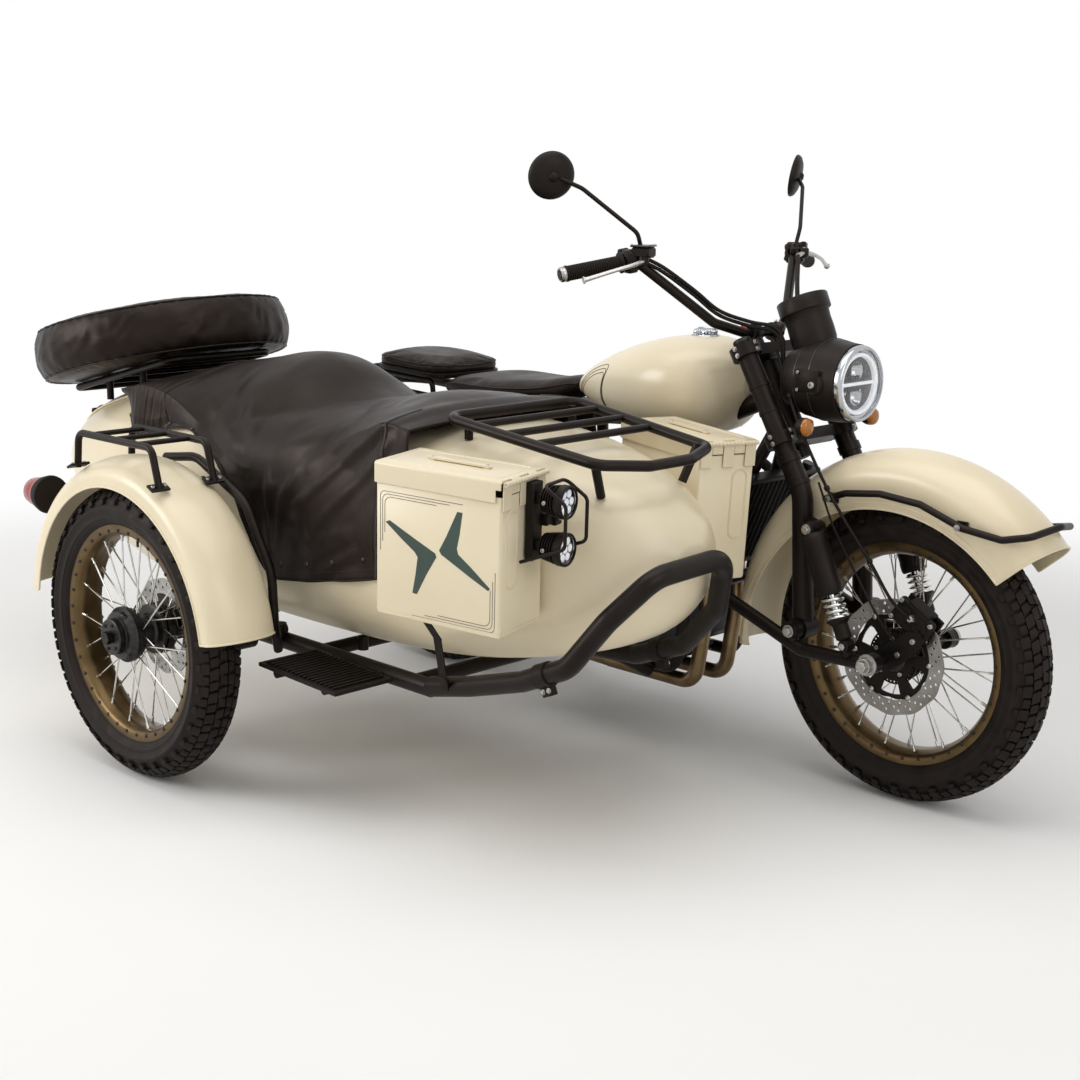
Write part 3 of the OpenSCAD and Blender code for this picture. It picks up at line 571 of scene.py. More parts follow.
def grow(name, seedMesh, tree, values, finish, body, place=None, replaces=(), angle=38):
    seed = newPiece(name + "Seed", seedMesh)
    modifier = seed.modifiers.new("grow", "NODES")
    modifier.node_group = tree
    values = {**values, "Finish": finish}
    for item in tree.interface.items_tree:
        if item.in_out == "INPUT" and item.name in values:
            modifier[item.identifier] = values[item.name]
    bpy.context.view_layer.update()
    mesh = bpy.data.meshes.new_from_object(seed.evaluated_get(bpy.context.evaluated_depsgraph_get()))
    bpy.data.objects.remove(seed)
    if place is not None:
        mesh.transform(place)
    mesh.name = name
    piece = newPiece(name, mesh)
    smoothed(mesh, angle)
    return settle(piece, body, replaces)


def pattern(name, shape):  # a unit that a tree copies; dropped again at the end
    unit = newPiece(name, newMesh(name, shape))
    smoothed(unit.data, 38)
    units.append(unit)
    return unit


units = []
hexShape = Shape()
spun(hexShape, (0, 0, 0), up, [(0, 0.0), (1.35, 0.0), (1.35, 0.16), (1.28, 0.22), (0, 0.22)], zinc, 14)
spun(hexShape, (0, 0, 0), up, [(0, 0.2), (1.0, 0.2), (1.0, 0.78), (0.86, 0.9), (0, 0.92)], zinc, 6)
hexHead = pattern("hexHead", hexShape)
capShape = Shape()
spun(capShape, (0, 0, 0), up, [(0, 0.0), (1.0, 0.0), (1.0, 0.85), (0.88, 1.0), (0.55, 1.0), (0.5, 0.5),
    (0, 0.45)], zinc, 14)
capHead = pattern("capHead", capShape)
domeShape = Shape()
spun(domeShape, (0, 0, 0), up, [(0, -0.1), (1.0, 0.0), (0.92, 0.3), (0.6, 0.55), (0.3, 0.64),
    (0, 0.66)], zinc, 12)
domeHead = pattern("domeHead", domeShape)


# rows are (place, aim, head radius in mm)
def screws(name, rows, body, finish=None, head=None):
    mesh = bpy.data.meshes.new(name + "Spots")
    mesh.from_pydata([r[0] for r in rows], [], [])
    aims = mesh.attributes.new("aim", "FLOAT_VECTOR", "POINT")
    aims.data.foreach_set("vector", [c for r in rows for c in Vector(r[1]).normalized()])
    sizes = mesh.attributes.new("size", "FLOAT", "POINT")
    sizes.data.foreach_set("value", [r[2] / 1000 for r in rows])
    return grow(name, mesh, screwHeads, {"Head": head or hexHead}, finish or zinc, body)


def along(name, paths, unit, spacing, finish, body):  # units along open paths
    points, edges = [], []
    for path in paths:
        edges += [(len(points) + i, len(points) + i + 1) for i in range(len(path) - 1)]
        points += path
    mesh = bpy.data.meshes.new(name + "Path")
    mesh.from_pydata(points, edges, [])
    return grow(name, mesh, unitsAlong, {"Unit": unit, "Spacing": spacing}, finish, body)


# flat part cut from sheet: outlines of (x, y) in metres, the first is the edge and the others are holes
def cutSheet(name, outlines, thickness, place, finish, body, replaces=()):
    curve = bpy.data.curves.new(name, "CURVE")
    curve.dimensions, curve.fill_mode, curve.extrude = "2D", "BOTH", thickness / 2
    for outline in outlines:
        spline = curve.splines.new("POLY")
        spline.points.add(len(outline) - 1)
        for point, (x, y) in zip(spline.points, outline):
            point.co = (x, y, 0, 1)
        spline.use_cyclic_u = True
    flat = newPiece(name, curve)
    bpy.context.view_layer.update()
    mesh = bpy.data.meshes.new_from_object(flat.evaluated_get(bpy.context.evaluated_depsgraph_get()))
    bpy.data.objects.remove(flat)
    bm = bmesh.new()
    bm.from_mesh(mesh)
    bmesh.ops.remove_doubles(bm, verts=bm.verts, dist=1e-6)
    bmesh.ops.recalc_face_normals(bm, faces=bm.faces)
    bm.to_mesh(mesh)
    bm.free()
    mesh.transform(place)
    painted(mesh, finish)
    piece = newPiece(name, mesh)
    smoothed(mesh, 35)
    return settle(piece, body, replaces)


def circle(x, y, r, count=16, squeeze=1.0, turn=0.0):
    out = []
    for k in range(count):
        t = math.tau * k / count
        a, b = r * math.cos(t), r * squeeze * math.sin(t)
        out.append((x + a * math.cos(turn) - b * math.sin(turn),
            y + a * math.sin(turn) + b * math.cos(turn)))
    return out


def wavy(r, depth, waves, count=144):
    return [((r + depth * math.cos(waves * t)) * math.cos(t),
        (r + depth * math.cos(waves * t)) * math.sin(t)) for t in (math.tau * k / count
        for k in range(count))]


def arcSlot(r0, r1, a0, a1, count=5):  # a slot between two radii and two angles in degrees
    angles = [math.radians(a0 + (a1 - a0) * k / count) for k in range(count + 1)]
    return ([(r1 * math.cos(t), r1 * math.sin(t)) for t in angles] + [(r0 * math.cos(t),
        r0 * math.sin(t)) for t in reversed(angles)])


# wheels

wheel = {"radius": 0.33, "halfTread": 0.056, "crown": 0.046, "blocks": 38, "blockDepth": 0.0085,
    "spokes": 36, "spokeWire": 0.0019}


def treadPoint(phi, angle, depth):  # on the tread, phi across it and angle round it, in degrees
    p, a = math.radians(phi), math.radians(angle)
    half, crown = wheel["halfTread"], wheel["crown"]
    y, r = half * math.sin(p), wheel["radius"] - crown * (1 - math.cos(p))
    n = Vector((math.sin(p) / half, math.cos(p) / crown)).normalized()
    y, r = y - n.x * depth, r - n.y * depth
    return Vector((r * math.sin(a), y, r * math.cos(a)))


def treadBlock(shape, a0, a1, p0, p1, skew=0.0):
    deep = wheel["blockDepth"]
    points = []
    for depth, swell in ((deep, 0.25), (0.0012, 0.0), (0.0, -0.45)):
        for a, p in ((a0 - swell, p0 - swell * 3), (a1 + swell, p0 - swell * 3),
                (a1 + swell, p1 + swell * 3), (a0 - swell, p1 + swell * 3)):
            points.append(treadPoint(p, a + skew * (p - p0) / (p1 - p0), depth))
    faces = [(3, 2, 1, 0), (8, 9, 10, 11)]
    for m in (0, 4):
        faces += [(m + i, m + (i + 1) % 4, m + 4 + (i + 1) % 4, m + 4 + i) for i in range(4)]
    shape.add(points, faces, tread)


def makeTyre(name, axle, body, node):
    # carcass: bead, sidewall with two fine rings, shoulder and the tread's base
    side = [(229.4, 34.6), (240.5, 34.8), (243.5, 37.6), (248, 43), (255, 47.6), (257, 48.2),
        (258, 49.8), (260.5, 50.6), (262, 49.9), (268, 51.6), (276, 53.6), (278, 54.9), (280.5, 55.3),
        (282.5, 54.3)]
    base = []
    for phi in range(80, -1, -8):
        p = treadPoint(phi, 0, wheel["blockDepth"] - 0.0005)
        base.append((p.z * 1000, p.y * 1000))
    half = side + base[:-1]
    outline = (mm(half) + [(base[-1][0] / 1000, 0)] + [(r / 1000, -y / 1000) for r, y in reversed(half)])
    shape = Shape()
    spun(shape, axle, across, outline, tread, 120, closed=True)
    pitch = 360 / wheel["blocks"]
    unit = Shape()
    for sign, shift in ((1, 0.0), (-1, pitch / 2)):
        for a0, a1, p0, p1, skew in ((0.3, 4.3, 2.5, 19, 0.8), (5.3, 8.9, 3.5, 17, -0.6),
                (2.2, 6.4, 23, 41, 1.0), (7.4, 10.6, 24, 40, 0.6), (0.4, 4.6, 45, 65, 0.3),
                (5.6, 8.8, 46, 61, 0.2), (1.0, 4.1, 69, 79, 0.0)):
            treadBlock(unit, a0 + shift, a1 + shift, sign * p0, sign * p1, skew)
    blocks = grow(name + "Blocks", newMesh(name + "Unit", unit), ringCopies,
        {"Count": wheel["blocks"], "Centre": axle, "Turn": 0.0}, tread, body)
    carcass = build(name, shape, body, angle=50, replaces=[node])
    print(name, "made of", len(carcass.data.polygons) + len(blocks.data.polygons), "faces")


def makeWheel(name, axle, body, node, hub):
    rim = [(243, -38.4), (243.8, -37), (242.4, -35.2), (232, -34.9), (229.5, -31), (228.6, -22),
        (222.6, -14), (222.6, 14), (228.6, 22), (229.5, 31), (232, 34.9), (242.4, 35.2), (243.8, 37),
        (243, 38.4), (238.5, 38.8), (229, 37.4), (224, 34.5), (220.5, 29), (217.6, 22), (214.2, 15),
        (213.6, 8), (213.6, -8), (214.2, -15), (217.6, -22), (220.5, -29), (224, -34.5), (229, -37.4),
        (238.5, -38.8)]
    shape = Shape()
    spun(shape, axle, across, mm(rim), bronze, 120, closed=True)
    build(name, shape, body, angle=42, replaces=[node])
    unit = Shape()
    for i in range(4):
        sign = 1 if i % 2 == 0 else -1
        a, b = math.radians(i * 10), math.radians(i * 10 + (24 if i < 2 else -24))
        low = Vector((0.0475 * math.sin(b), sign * (0.0295 if i < 2 else 0.0245), 0.0475 * math.cos(b)))
        high = Vector((0.2165 * math.sin(a), sign * 0.017, 0.2165 * math.cos(a)))
        tube(unit, [low, high], wheel["spokeWire"], spokeSteel, 6)
        d = (high - low).normalized()
        tube(unit, [high - d * 0.013, high - d * 0.002, high + d * 0.002], [0.0032, 0.0036, 0.005],
            spokeSteel, 8)
        tube(unit, [low - Vector((0, 0.004 * sign, 0)), low + Vector((0, 0.0045 * sign, 0))], 0.0034,
            spokeSteel, 8)
    grow(name + "Spokes", newMesh(name + "SpokeUnit", unit), ringCopies,
        {"Count": wheel["spokes"] // 4, "Centre": axle, "Turn": 0.0}, spokeSteel, body)
    # nipple seats seen on the rim's flank, a row on each side
    seat = Shape()
    for sign in (1, -1):
        spun(seat, Vector((0, sign * 0.0352, 0.2305)), Vector((0, sign, -0.35)),
            mm([(4.2, -1), (4.2, 3.4), (3, 4.6), (0, 4.8)]), darkAlloy, 10)
    grow(name + "Seats", newMesh(name + "SeatUnit", seat), ringCopies,
        {"Count": wheel["spokes"], "Centre": axle, "Turn": math.radians(5)}, darkAlloy, body)
    # valve stem with its cap
    valve = Shape()
    spun(valve, axle + Vector((0, 0, 0.2225)), (0, 0, -1),
        mm([(0, -12), (7, -12), (6.5, -6), (3.4, -3), (3.4, 18), (4.4, 18.5), (4.4, 30), (3.6, 32),
        (0, 32)]), rubber, 14)
    build(name + "Valve", valve, body)
    hubShape = Shape()
    for finish, outline in hub:
        spun(hubShape, axle, across, mm(outline), finish, 72, closed=True)
    build(name + "Hub", hubShape, body, angle=32)


hubCore = (darkAlloy, [(9, -34), (34, -34), (54, -33), (56, -31), (56, -23), (53, -21), (37, -18),
    (33, -12), (33, 12), (37, 18), (53, 21), (56, 23), (56, 31), (54, 33), (34, 34), (9, 34)])
makeTyre("frontTyre", frontAxle, "front_wheel", "front_tyre")
makeWheel("frontRim", frontAxle, "front_wheel", "front_rim",
    [hubCore, (darkAlloy, [(10.2, -54), (30, -54), (33, -52), (46, -51), (46, -34), (10.2, -34)]),
    (darkAlloy, [(10.2, 34), (34, 34), (34, 44), (30, 46), (10.2, 46)])])
makeTyre("rearTyre", rearAxle, "rear_wheel", "rear_tyre")
makeWheel("rearRim", rearAxle, "rear_wheel", "rear_rim", [hubCore,
    (darkAlloy, [(10.2, 34), (60, 34), (66, 38), (62, 54), (52, 69), (10.2, 70)]),
    (darkAlloy, [(10.2, -34), (62, -34), (66, -38), (66, -50), (58, -56), (30, -66), (10.2, -66)])])
makeTyre("sidecarTyre", sideAxle, "sidecar_wheel", "sidecar_tyre")
makeWheel("sidecarRim", sideAxle, "sidecar_wheel", "sidecar_rim",
    [hubCore, (darkAlloy, [(10.2, -34), (58, -34), (62, -36), (62, -47), (59, -50), (53, -60),
    (49, -61.5), (41, -62.5), (40, -64), (40, -78), (37.5, -80), (10.2, -80)]),
    (darkAlloy, [(10.2, 34), (58, 34), (58, 52), (50, 61), (10.2, 62)])])


def spinPlace(axle, y, sign=1):  # a sheet's own Z along the axle, y from the wheel's middle
    m = Matrix(((1, 0, 0), (0, 0, sign), (0, -sign, 0))).transposed().to_4x4()
    m.translation = axle + Vector((0, y / 1000, 0))
    return m


# front brake: floating disc on a slotted carrier, its rivets, and the toothed sensor ring
disc = {"radius": 0.128, "inner": 0.094, "thick": 0.0048, "holes": 24}
holes = []
for k in range(disc["holes"]):
    for row, r in enumerate((0.1, 0.1085, 0.117)):
        t = math.tau * (k + (0.0, 0.42, 0.78)[row]) / disc["holes"]
        holes.append(circle(r * math.cos(t), r * math.sin(t), 0.0037, 12))
cutSheet("frontDisc", [wavy(disc["radius"] - 0.0015, 0.0014, 12, 180),
    circle(0, 0, disc["inner"], 90)] + holes, disc["thick"], spinPlace(frontAxle, -68.5), groundSteel,
    "front_wheel", replaces=["front_brake_disc"])
arms = [circle(0.0, 0.0, 0.0335, 40)]
for k in range(6):
    arms.append(arcSlot(0.052, 0.082, 60 * k + 12, 60 * k + 48, 8))
scallop = []
for k in range(180):
    t = math.tau * k / 180
    scallop.append(((0.0925 + 0.0035 * math.cos(6 * t) ** 3) * math.cos(t),
        (0.0925 + 0.0035 * math.cos(6 * t) ** 3) * math.sin(t)))
cutSheet("discCarrier", [scallop] + arms, 0.005, spinPlace(frontAxle, -65.4), matBlack, "front_wheel")


def boltRing(centre, y, radius, count, head, turn=0.0):  # screws round an axle, facing right
    angles = [math.tau * k / count + turn for k in range(count)]
    return [(centre + Vector((radius * math.cos(t), y, radius * math.sin(t))), (0, -1, 0),
        head) for t in angles]


screws("discRivets", boltRing(frontAxle, -0.0702, 0.0925, 6, 6.5), "front_wheel", zinc, domeHead)
teeth = [circle(0, 0, 0.044, 60)]
for k in range(40):
    teeth.append(arcSlot(0.0505, 0.0575, 9 * k + 2.4, 9 * k + 6.6, 2))
cutSheet("sensorRing", [circle(0, 0, 0.061, 100)] + teeth, 0.0022, spinPlace(frontAxle, -60.5),
    matBlack, "front_wheel")
screws("carrierBolts", boltRing(frontAxle, -0.0678, 0.041, 5, 5.0, 0.3), "front_wheel", zinc, capHead)
neck = Shape()
spun(neck, frontAxle, across, [(r / 1000, y / 1000) for r, y in ((10.3, -54), (31, -54), (33, -56),
    (33, -67.4), (30, -68.6), (10.3, -68.6))], darkAlloy, 48, closed=True)
build("discNeck", neck, "front_wheel")

# sidecar hub cap: three lugs and small screws
cap = Shape()
block(cap, moved(0, -0.0545, 0.047), (0.024, 0.017, 0.02), darkAlloy, 0.003)
grow("hubLugs", newMesh("hubLug", cap), ringCopies, {"Count": 3, "Centre": sideAxle, "Turn": 0.4},
    darkAlloy, "sidecar_wheel")
screws("hubCapScrews", boltRing(sideAxle, -0.0795, 0.029, 6, 3.6, 0.2), "sidecar_wheel", darkAlloy,
    capHead)

# rear sprocket and the discs of the rear and sidecar brakes
toothed = []
for k in range(38 * 4):
    t = math.tau * k / (38 * 4)
    r = (0.0885, 0.0905, 0.0945, 0.0905)[k % 4]
    toothed.append((r * math.cos(t), r * math.sin(t)))
cutSheet("rearSprocket", [toothed, circle(0, 0, 0.04, 40)] + [circle(0.064 * math.cos(t),
    0.064 * math.sin(t), 0.009, 16) for t in (math.tau * k / 8 for k in range(8))], 0.0055,
    spinPlace(rearAxle, 75), chainSteel, "rear_wheel")
for name, axle, y, body in (("rearDisc", rearAxle, -62, "rear_wheel"),
        ("sidecarDisc", sideAxle, 60, "sidecar_wheel")):
    rotor = []
    for k in range(20):
        for r, shift in ((0.089, 0.0), (0.1, 0.5)):
            t = math.tau * (k + shift) / 20
            rotor.append(circle(r * math.cos(t), r * math.sin(t), 0.0036, 12))
    cutSheet(name, [wavy(0.1085, 0.0012, 12, 150), circle(0, 0, 0.04, 48)] + rotor + [arcSlot(0.05,
        0.075, 60 * k + 10, 60 * k + 50, 6) for k in range(6)], 0.004, spinPlace(axle, y), alloy, body)
print("wheels ready")


# sidecar body

bodyWidth = [(-835, 176), (-740, 222), (-600, 258), (-400, 286), (0, 296), (400, 296), (700, 276),
    (900, 236), (1050, 172), (1130, 110), (1166, 40)]
bodyLow = [(-835, 500), (-740, 424), (-600, 376), (-400, 340), (-100, 322), (400, 322), (700, 338),
    (900, 376), (1050, 430), (1130, 500), (1166, 572)]
bodyTop = [(-835, 668), (-740, 738), (-600, 782), (-450, 804), (-300, 812), (300, 822), (520, 824),
    (700, 816), (900, 790), (1050, 742), (1130, 690), (1166, 636)]
bodyPower = [(-835, 2.3), (-600, 2.5), (-300, 3.2), (500, 3.2), (900, 2.7), (1166, 2.2)]


def bodySection(x):  # half width, underside, top, corner power
    return ease(x, bodyWidth), ease(x, bodyLow), ease(x, bodyTop), ease(x, bodyPower)


def bodyZ(x, y):  # upper surface over (x, y)
    w, low, top, p = bodySection(x)
    return (low + top) / 2 + (top - low) / 2 * max(0.0, 1 - abs(y / w) ** p) ** (1 / p)


def bodyY(x, z):  # half width at height z
    w, low, top, p = bodySection(x)
    k = abs((z - (low + top) / 2) / ((top - low) / 2))
    return w * max(0.0, 1 - k ** p) ** (1 / p)


# closed section with square-ish corners, evenly spaced along its length
def oval(x, w, low, top, p, n):
    fine = []
    for k in range(720):
        t = math.tau * k / 720
        c, s = math.cos(t), math.sin(t)
        fine.append((w * math.copysign(abs(c) ** (2 / p), c),
            (low + top) / 2 + (top - low) / 2 * math.copysign(abs(s) ** (2 / p), s)))
    run = [0.0]
    for k in range(720):
        a, b = fine[k], fine[(k + 1) % 720]
        run.append(run[-1] + math.hypot(b[0] - a[0], b[1] - a[1]))
    out, k = [], 0
    for i in range(n):
        goal = run[-1] * i / n
        while run[k + 1] < goal:
            k += 1
        f = (goal - run[k]) / max(1e-9, run[k + 1] - run[k])
        a, b = fine[k], fine[(k + 1) % 720]
        out.append((x, a[0] + (b[0] - a[0]) * f, a[1] + (b[1] - a[1]) * f))
    return out


def baked(piece):  # the piece's mesh with its modifiers worked in
    bpy.context.view_layer.update()
    mesh = bpy.data.meshes.new_from_object(piece.evaluated_get(bpy.context.evaluated_depsgraph_get()))
    piece.modifiers.clear()
    piece.data = mesh
    return piece


def thickened(piece, thickness, offset):
    wall = piece.modifiers.new("wall", "SOLIDIFY")
    wall.thickness, wall.offset = thickness, offset
    baked(piece).data.shade_smooth()


def cutter(place, low, high):
    tool = Shape()
    size = [b - a for a, b in zip(low, high)]
    middle = Matrix.Translation([(a + b) / 2 for a, b in zip(low, high)])
    block(tool, place @ middle, size, matBlack)
    cutting = newPiece("cutter", newMesh("cutter", tool))
    return cutting


def carved(piece, tools, mode="DIFFERENCE"):
    for tool in tools:
        cut = piece.modifiers.new("cut", "BOOLEAN")
        cut.operation, cut.object, cut.solver = mode, tool, "EXACT"
    baked(piece)
    for tool in tools:
        bpy.data.objects.remove(tool)
    return piece


tubSizes = {"wall": 8, "ring": 120}
stations = [-835, -829, -820, -808, -792] + list(range(-775, 1040, 24)) + [1052, 1074, 1095, 1113, 1130,
    1144, 1154, 1161, 1165.4]
hull = Shape()
rows = [[car(*p) for p in oval(x, *bodySection(x), tubSizes["ring"])] for x in stations]
grid(hull, rows, cream, around=True, ends=True)
inner = []
for x in stations[2:-4]:
    w, low, top, p = bodySection(x)
    wall = tubSizes["wall"]
    inner.append([car(*q) for q in oval(x, w - wall, low + wall, top - wall, p, tubSizes["ring"])])
grid(hull, [list(reversed(r)) for r in inner], cream, around=True, ends=True)
tub = newPiece("tubShell", newMesh("tubShell", hull))
carPlace = Matrix.Translation(car(0, 0, 0))
carved(tub, [cutter(carPlace, (-0.33, -0.205, 0.74), (0.53, 0.205, 0.94)),
    cutter(carPlace, (-0.77, -0.15, 0.6), (-0.44, 0.15, 0.9))])
painted(tub.data, cream)
smoothed(tub.data, 40)
settle(tub, "chassis", ["sidecar_tub"])

# trunk lid: a pressed panel lying on the body, with a rolled edge
trunkSizes = {"middle": -610.5, "halfLength": 178, "halfWidth": 166, "rise": 4.2, "sheet": 0.0034}
lidShape = Shape()
lidRows = []
for i in range(31):
    u = -1 + i / 15
    row = []
    for k in range(25):
        v = -1 + k / 12
        x = trunkSizes["middle"] + trunkSizes["halfLength"] * u * math.sqrt(1 - 0.1 * v * v)
        y = trunkSizes["halfWidth"] * v * math.sqrt(1 - 0.12 * u * u)
        row.append(car(x, y, bodyZ(x, y) + trunkSizes["rise"]))
    lidRows.append(row)
grid(lidShape, lidRows, cream)
edge = lidRows[0] + [r[-1] for r in lidRows[1:]] + lidRows[-1][-2::-1] + [r[0] for r in lidRows[-2:0:-1]]
trunkPanel = newPiece("trunkPanel", newMesh("trunkPanel", lidShape, False))
faceUp(trunkPanel.data, 100)
thickened(trunkPanel, trunkSizes["sheet"], -1)
settle(trunkPanel, "trunk", ["trunk_lid"])
trim = Shape()
tube(trim, edge, 0.0026, cream, 8, closed=True)
for side in (-1, 1):
    tube(trim, bent([car(-779, 90 * side, 712), car(-820, 90 * side, 706), car(-847, 90 * side, 692)],
        0.02), 0.0055, satinBlack, 12)
    spun(trim, car(-847, 90 * side - 8, 692), across, mm([(4.2, 0), (9, 0), (9, 16), (4.2, 16)]),
        satinBlack, 24, closed=True)
    block(trim, Matrix.Translation(car(-772, 90 * side, 716)) @ turned(-38, "Y"), (0.03, 0.022, 0.005),
        satinBlack, 0.001)
build("trunkTrim", trim, "trunk")

# soft cover over the cockpit

coverSizes = {"back": -425, "length": 1065, "rows": 190, "halfColumns": 84, "proud": 5.5,
    "thick": 0.0012, "wrinkle": 2.2}
ridgeShare, hemShare = 0.55, 0.45  # of the way from the middle line to the hem
hump = [(-425, 812), (-380, 832), (-333, 848), (-230, 876), (-120, 894), (-40, 910), (40, 916),
    (90, 905), (130, 888), (180, 858), (230, 836), (262, 828), (330, 842), (400, 858), (470, 868),
    (540, 866), (600, 858), (640, 838)]
ridge = [(-425, 806), (-330, 826), (-224, 814), (-96, 760), (13, 715), (114, 690), (207, 692),
    (279, 710), (435, 786), (559, 834), (640, 828)]
hem = [(-425, 762), (-352, 716), (-265, 716), (-222, 735), (-130, 744), (-40, 722), (27, 684),
    (100, 612), (150, 545), (185, 486), (215, 462), (276, 464), (340, 472), (427, 488), (575, 518),
    (640, 548)]
creases = [([(583, 845), (476, 770), (391, 696), (299, 624)], 5.5, 12),
    ([(582, 805), (562, 765), (466, 675), (356, 586)], 4.5, 11), ([(507, 560), (395, 500)], 3.5, 9),
    ([(300, 700), (262, 640), (240, 560), (238, 480)], 3.5, 12),
    ([(200, 690), (215, 600), (222, 500)], 3.0, 10), ([(-60, 800), (40, 742), (120, 700)], 4.0, 16),
    ([(-20, 850), (60, 790), (150, 712)], 4.0, 18), ([(330, 800), (250, 752), (190, 706)], 4.5, 16),
    ([(420, 830), (330, 770), (240, 716)], 3.5, 15), ([(-180, 846), (-90, 800), (0, 745)], 3.0, 16)]


def offLine(x, z, line):  # distance from a broken line, and how far along it
    best, where = 1e9, 0.0
    for i in range(len(line) - 1):
        (x0, z0), (x1, z1) = line[i], line[i + 1]
        dx, dz = x1 - x0, z1 - z0
        t = max(0.0, min(1.0, ((x - x0) * dx + (z - z0) * dz) / (dx * dx + dz * dz)))
        d = math.hypot(x - x0 - t * dx, z - z0 - t * dz)
        if d < best:
            best, where = d, (i + t) / (len(line) - 1)
    return best, where


def coverPoint(x, side, t):  # t from 0 on the middle line to 1 at the hem
    zTop, zRidge, zHem = ease(x, hump), ease(x, ridge), min(ease(x, hem), ease(x, ridge) - 22)
    proud = coverSizes["proud"]
    yRidge = max(266.0, bodyY(x, zRidge) + proud) if zRidge < ease(x, bodyTop) else 268.0
    if t < ridgeShare:
        u = t / ridgeShare
        y = yRidge * u
        z = zTop - (zTop - zRidge) * (0.25 * u ** 1.4 + 0.75 * u ** 2.5)
        z = max(z, bodyZ(x, min(y, ease(x, bodyWidth) - 0.5)) + proud)
    else:
        u = (t - ridgeShare) / hemShare
        z = zRidge + (zHem - zRidge) * u
        y = max(yRidge + (bodyY(x, zHem) + proud + 5 - yRidge) * min(1, u * 1.5), bodyY(x, z) + proud)
    lift = 0.0
    for line, height, width in creases:
        d, where = offLine(x, z, line)
        lift += height * math.exp(-(d / width) ** 2) * math.sin(math.pi * min(1,
            max(0, 0.12 + 0.8 * where)))
        lift -= 0.4 * height * math.exp(-((d - 2.1 * width) / width) ** 2)
    away = min(1.0, t * 3)
    q = Vector((x * 0.009, y * side * 0.01, z * 0.01))
    lift += coverSizes["wrinkle"] * away * noise.noise(q + Vector((3.1, 0, 0)))
    lift += 2.0 * noise.noise(Vector((x * 0.022 + z * 0.014, y * side * 0.008,
        z * 0.02 - x * 0.012))) * away
    pleat = bell(x, -290, 62) * max(0.0, min(1.0, (t - 0.42) * 4))
    lift += 4.5 * pleat * math.sin(x * 0.3 + 0.6 * math.sin(z * 0.03))
    lift += 5.0 * max(0.0, u - 0.86) / 0.14 * (0.5 + 0.5 * math.sin(x * 0.055)) if t > ridgeShare else 0
    slope = min(1.0, t / ridgeShare) if t < ridgeShare else 1.0
    y, z = y + lift * slope, z + (lift * (1 - 0.5 * slope) if t < ridgeShare else 0)
    if y < ease(x, bodyWidth) - 0.5:  # never under the panel
        z = max(z, bodyZ(x, y) + 3.5) if t < ridgeShare else z
    if z < ease(x, bodyTop) - 0.5:
        y = max(y, bodyY(x, z) + 3.5)
    return car(x, side * y, z)


sheet = Shape()
rows = []
for i in range(coverSizes["rows"] + 1):
    x = coverSizes["back"] + coverSizes["length"] * i / coverSizes["rows"]
    n = coverSizes["halfColumns"]
    rows.append([coverPoint(x, -1, 1 - k / n) for k in range(n)] + [coverPoint(x, 1,
        k / n) for k in range(n + 1)])
grid(sheet, rows, vinyl)
cover = newPiece("cockpitCover", newMesh("cockpitCover", sheet, False))
faceUp(cover.data, len(cover.data.polygons) // 2 + n)
thickened(cover, coverSizes["thick"], 1)
settle(cover, "chassis", ["tonneau_cover"])
piping = Shape()
lowEdge = [r[0] for r in rows], [r[-1] for r in rows]
for line in lowEdge:
    tube(piping, line[::2], 0.0026, vinyl, 8)
tube(piping, rows[0][::2], 0.003, vinyl, 8)
tube(piping, rows[-1][::2], 0.003, vinyl, 8)
for side in (-1, 1):
    tube(piping, [coverPoint(572, side, t / 40) + Vector((0, 0.0016 * side, 0.001)) for t in range(14,
        41)], 0.0024, threadDark, 8)
    tube(piping, [coverPoint(-222 + 10 * math.sin(t / 5), side,
        t / 40) + Vector((0, 0.001 * side, 0.001)) for t in range(6, 41)], 0.0022, vinyl, 8)
edging = build("coverPiping", piping, "chassis")
dash = Shape()
block(dash, Matrix.Identity(4), (0.0008, 0.0008, 0.0032), threadDark, 0.0002)
stitch = pattern("stitchDash", dash)
seamLines = []
for side in (-1, 1):
    seamLines.append([coverPoint(560, side, t / 40) + Vector((0, 0.002 * side,
        0.001)) for t in range(14, 41)])
    seamLines.append([coverPoint(x, side, 0.97) + Vector((0, 0.0016 * side, 0)) for x in range(-410,
        640, 10)])
seam = along("coverStitches", seamLines, stitch, 0.0052, threadDark, "chassis")

# press studs that hold the hem
studs = []
for side in (-1, 1):
    for x in range(-390, 640, 92):
        p = coverPoint(x, side, 0.94)
        studs.append((p + Vector((0, side * 0.0012, 0)), (0, side, 0.1), 6.0))
screws("coverStuds", studs, "chassis", darkAlloy, domeHead)


# side boxes

box = {"length": 0.286, "depth": 0.144, "height": 0.295, "sheet": 0.0024, "fold": 0.006, "toe": 13}


def boxPlace(side):  # a box's own frame: X forward, Y towards the body, Z up
    flip = Matrix.Diagonal((1, -1 if side else 1, 1, 1))
    lean = (turned(box["toe"], "Z") @ turned(2.3, "Y") @ turned(2, "X"))
    return Matrix.Translation(car(0, 0, 0)) @ flip @ moved(1.003, -0.362, 0.487) @ lean


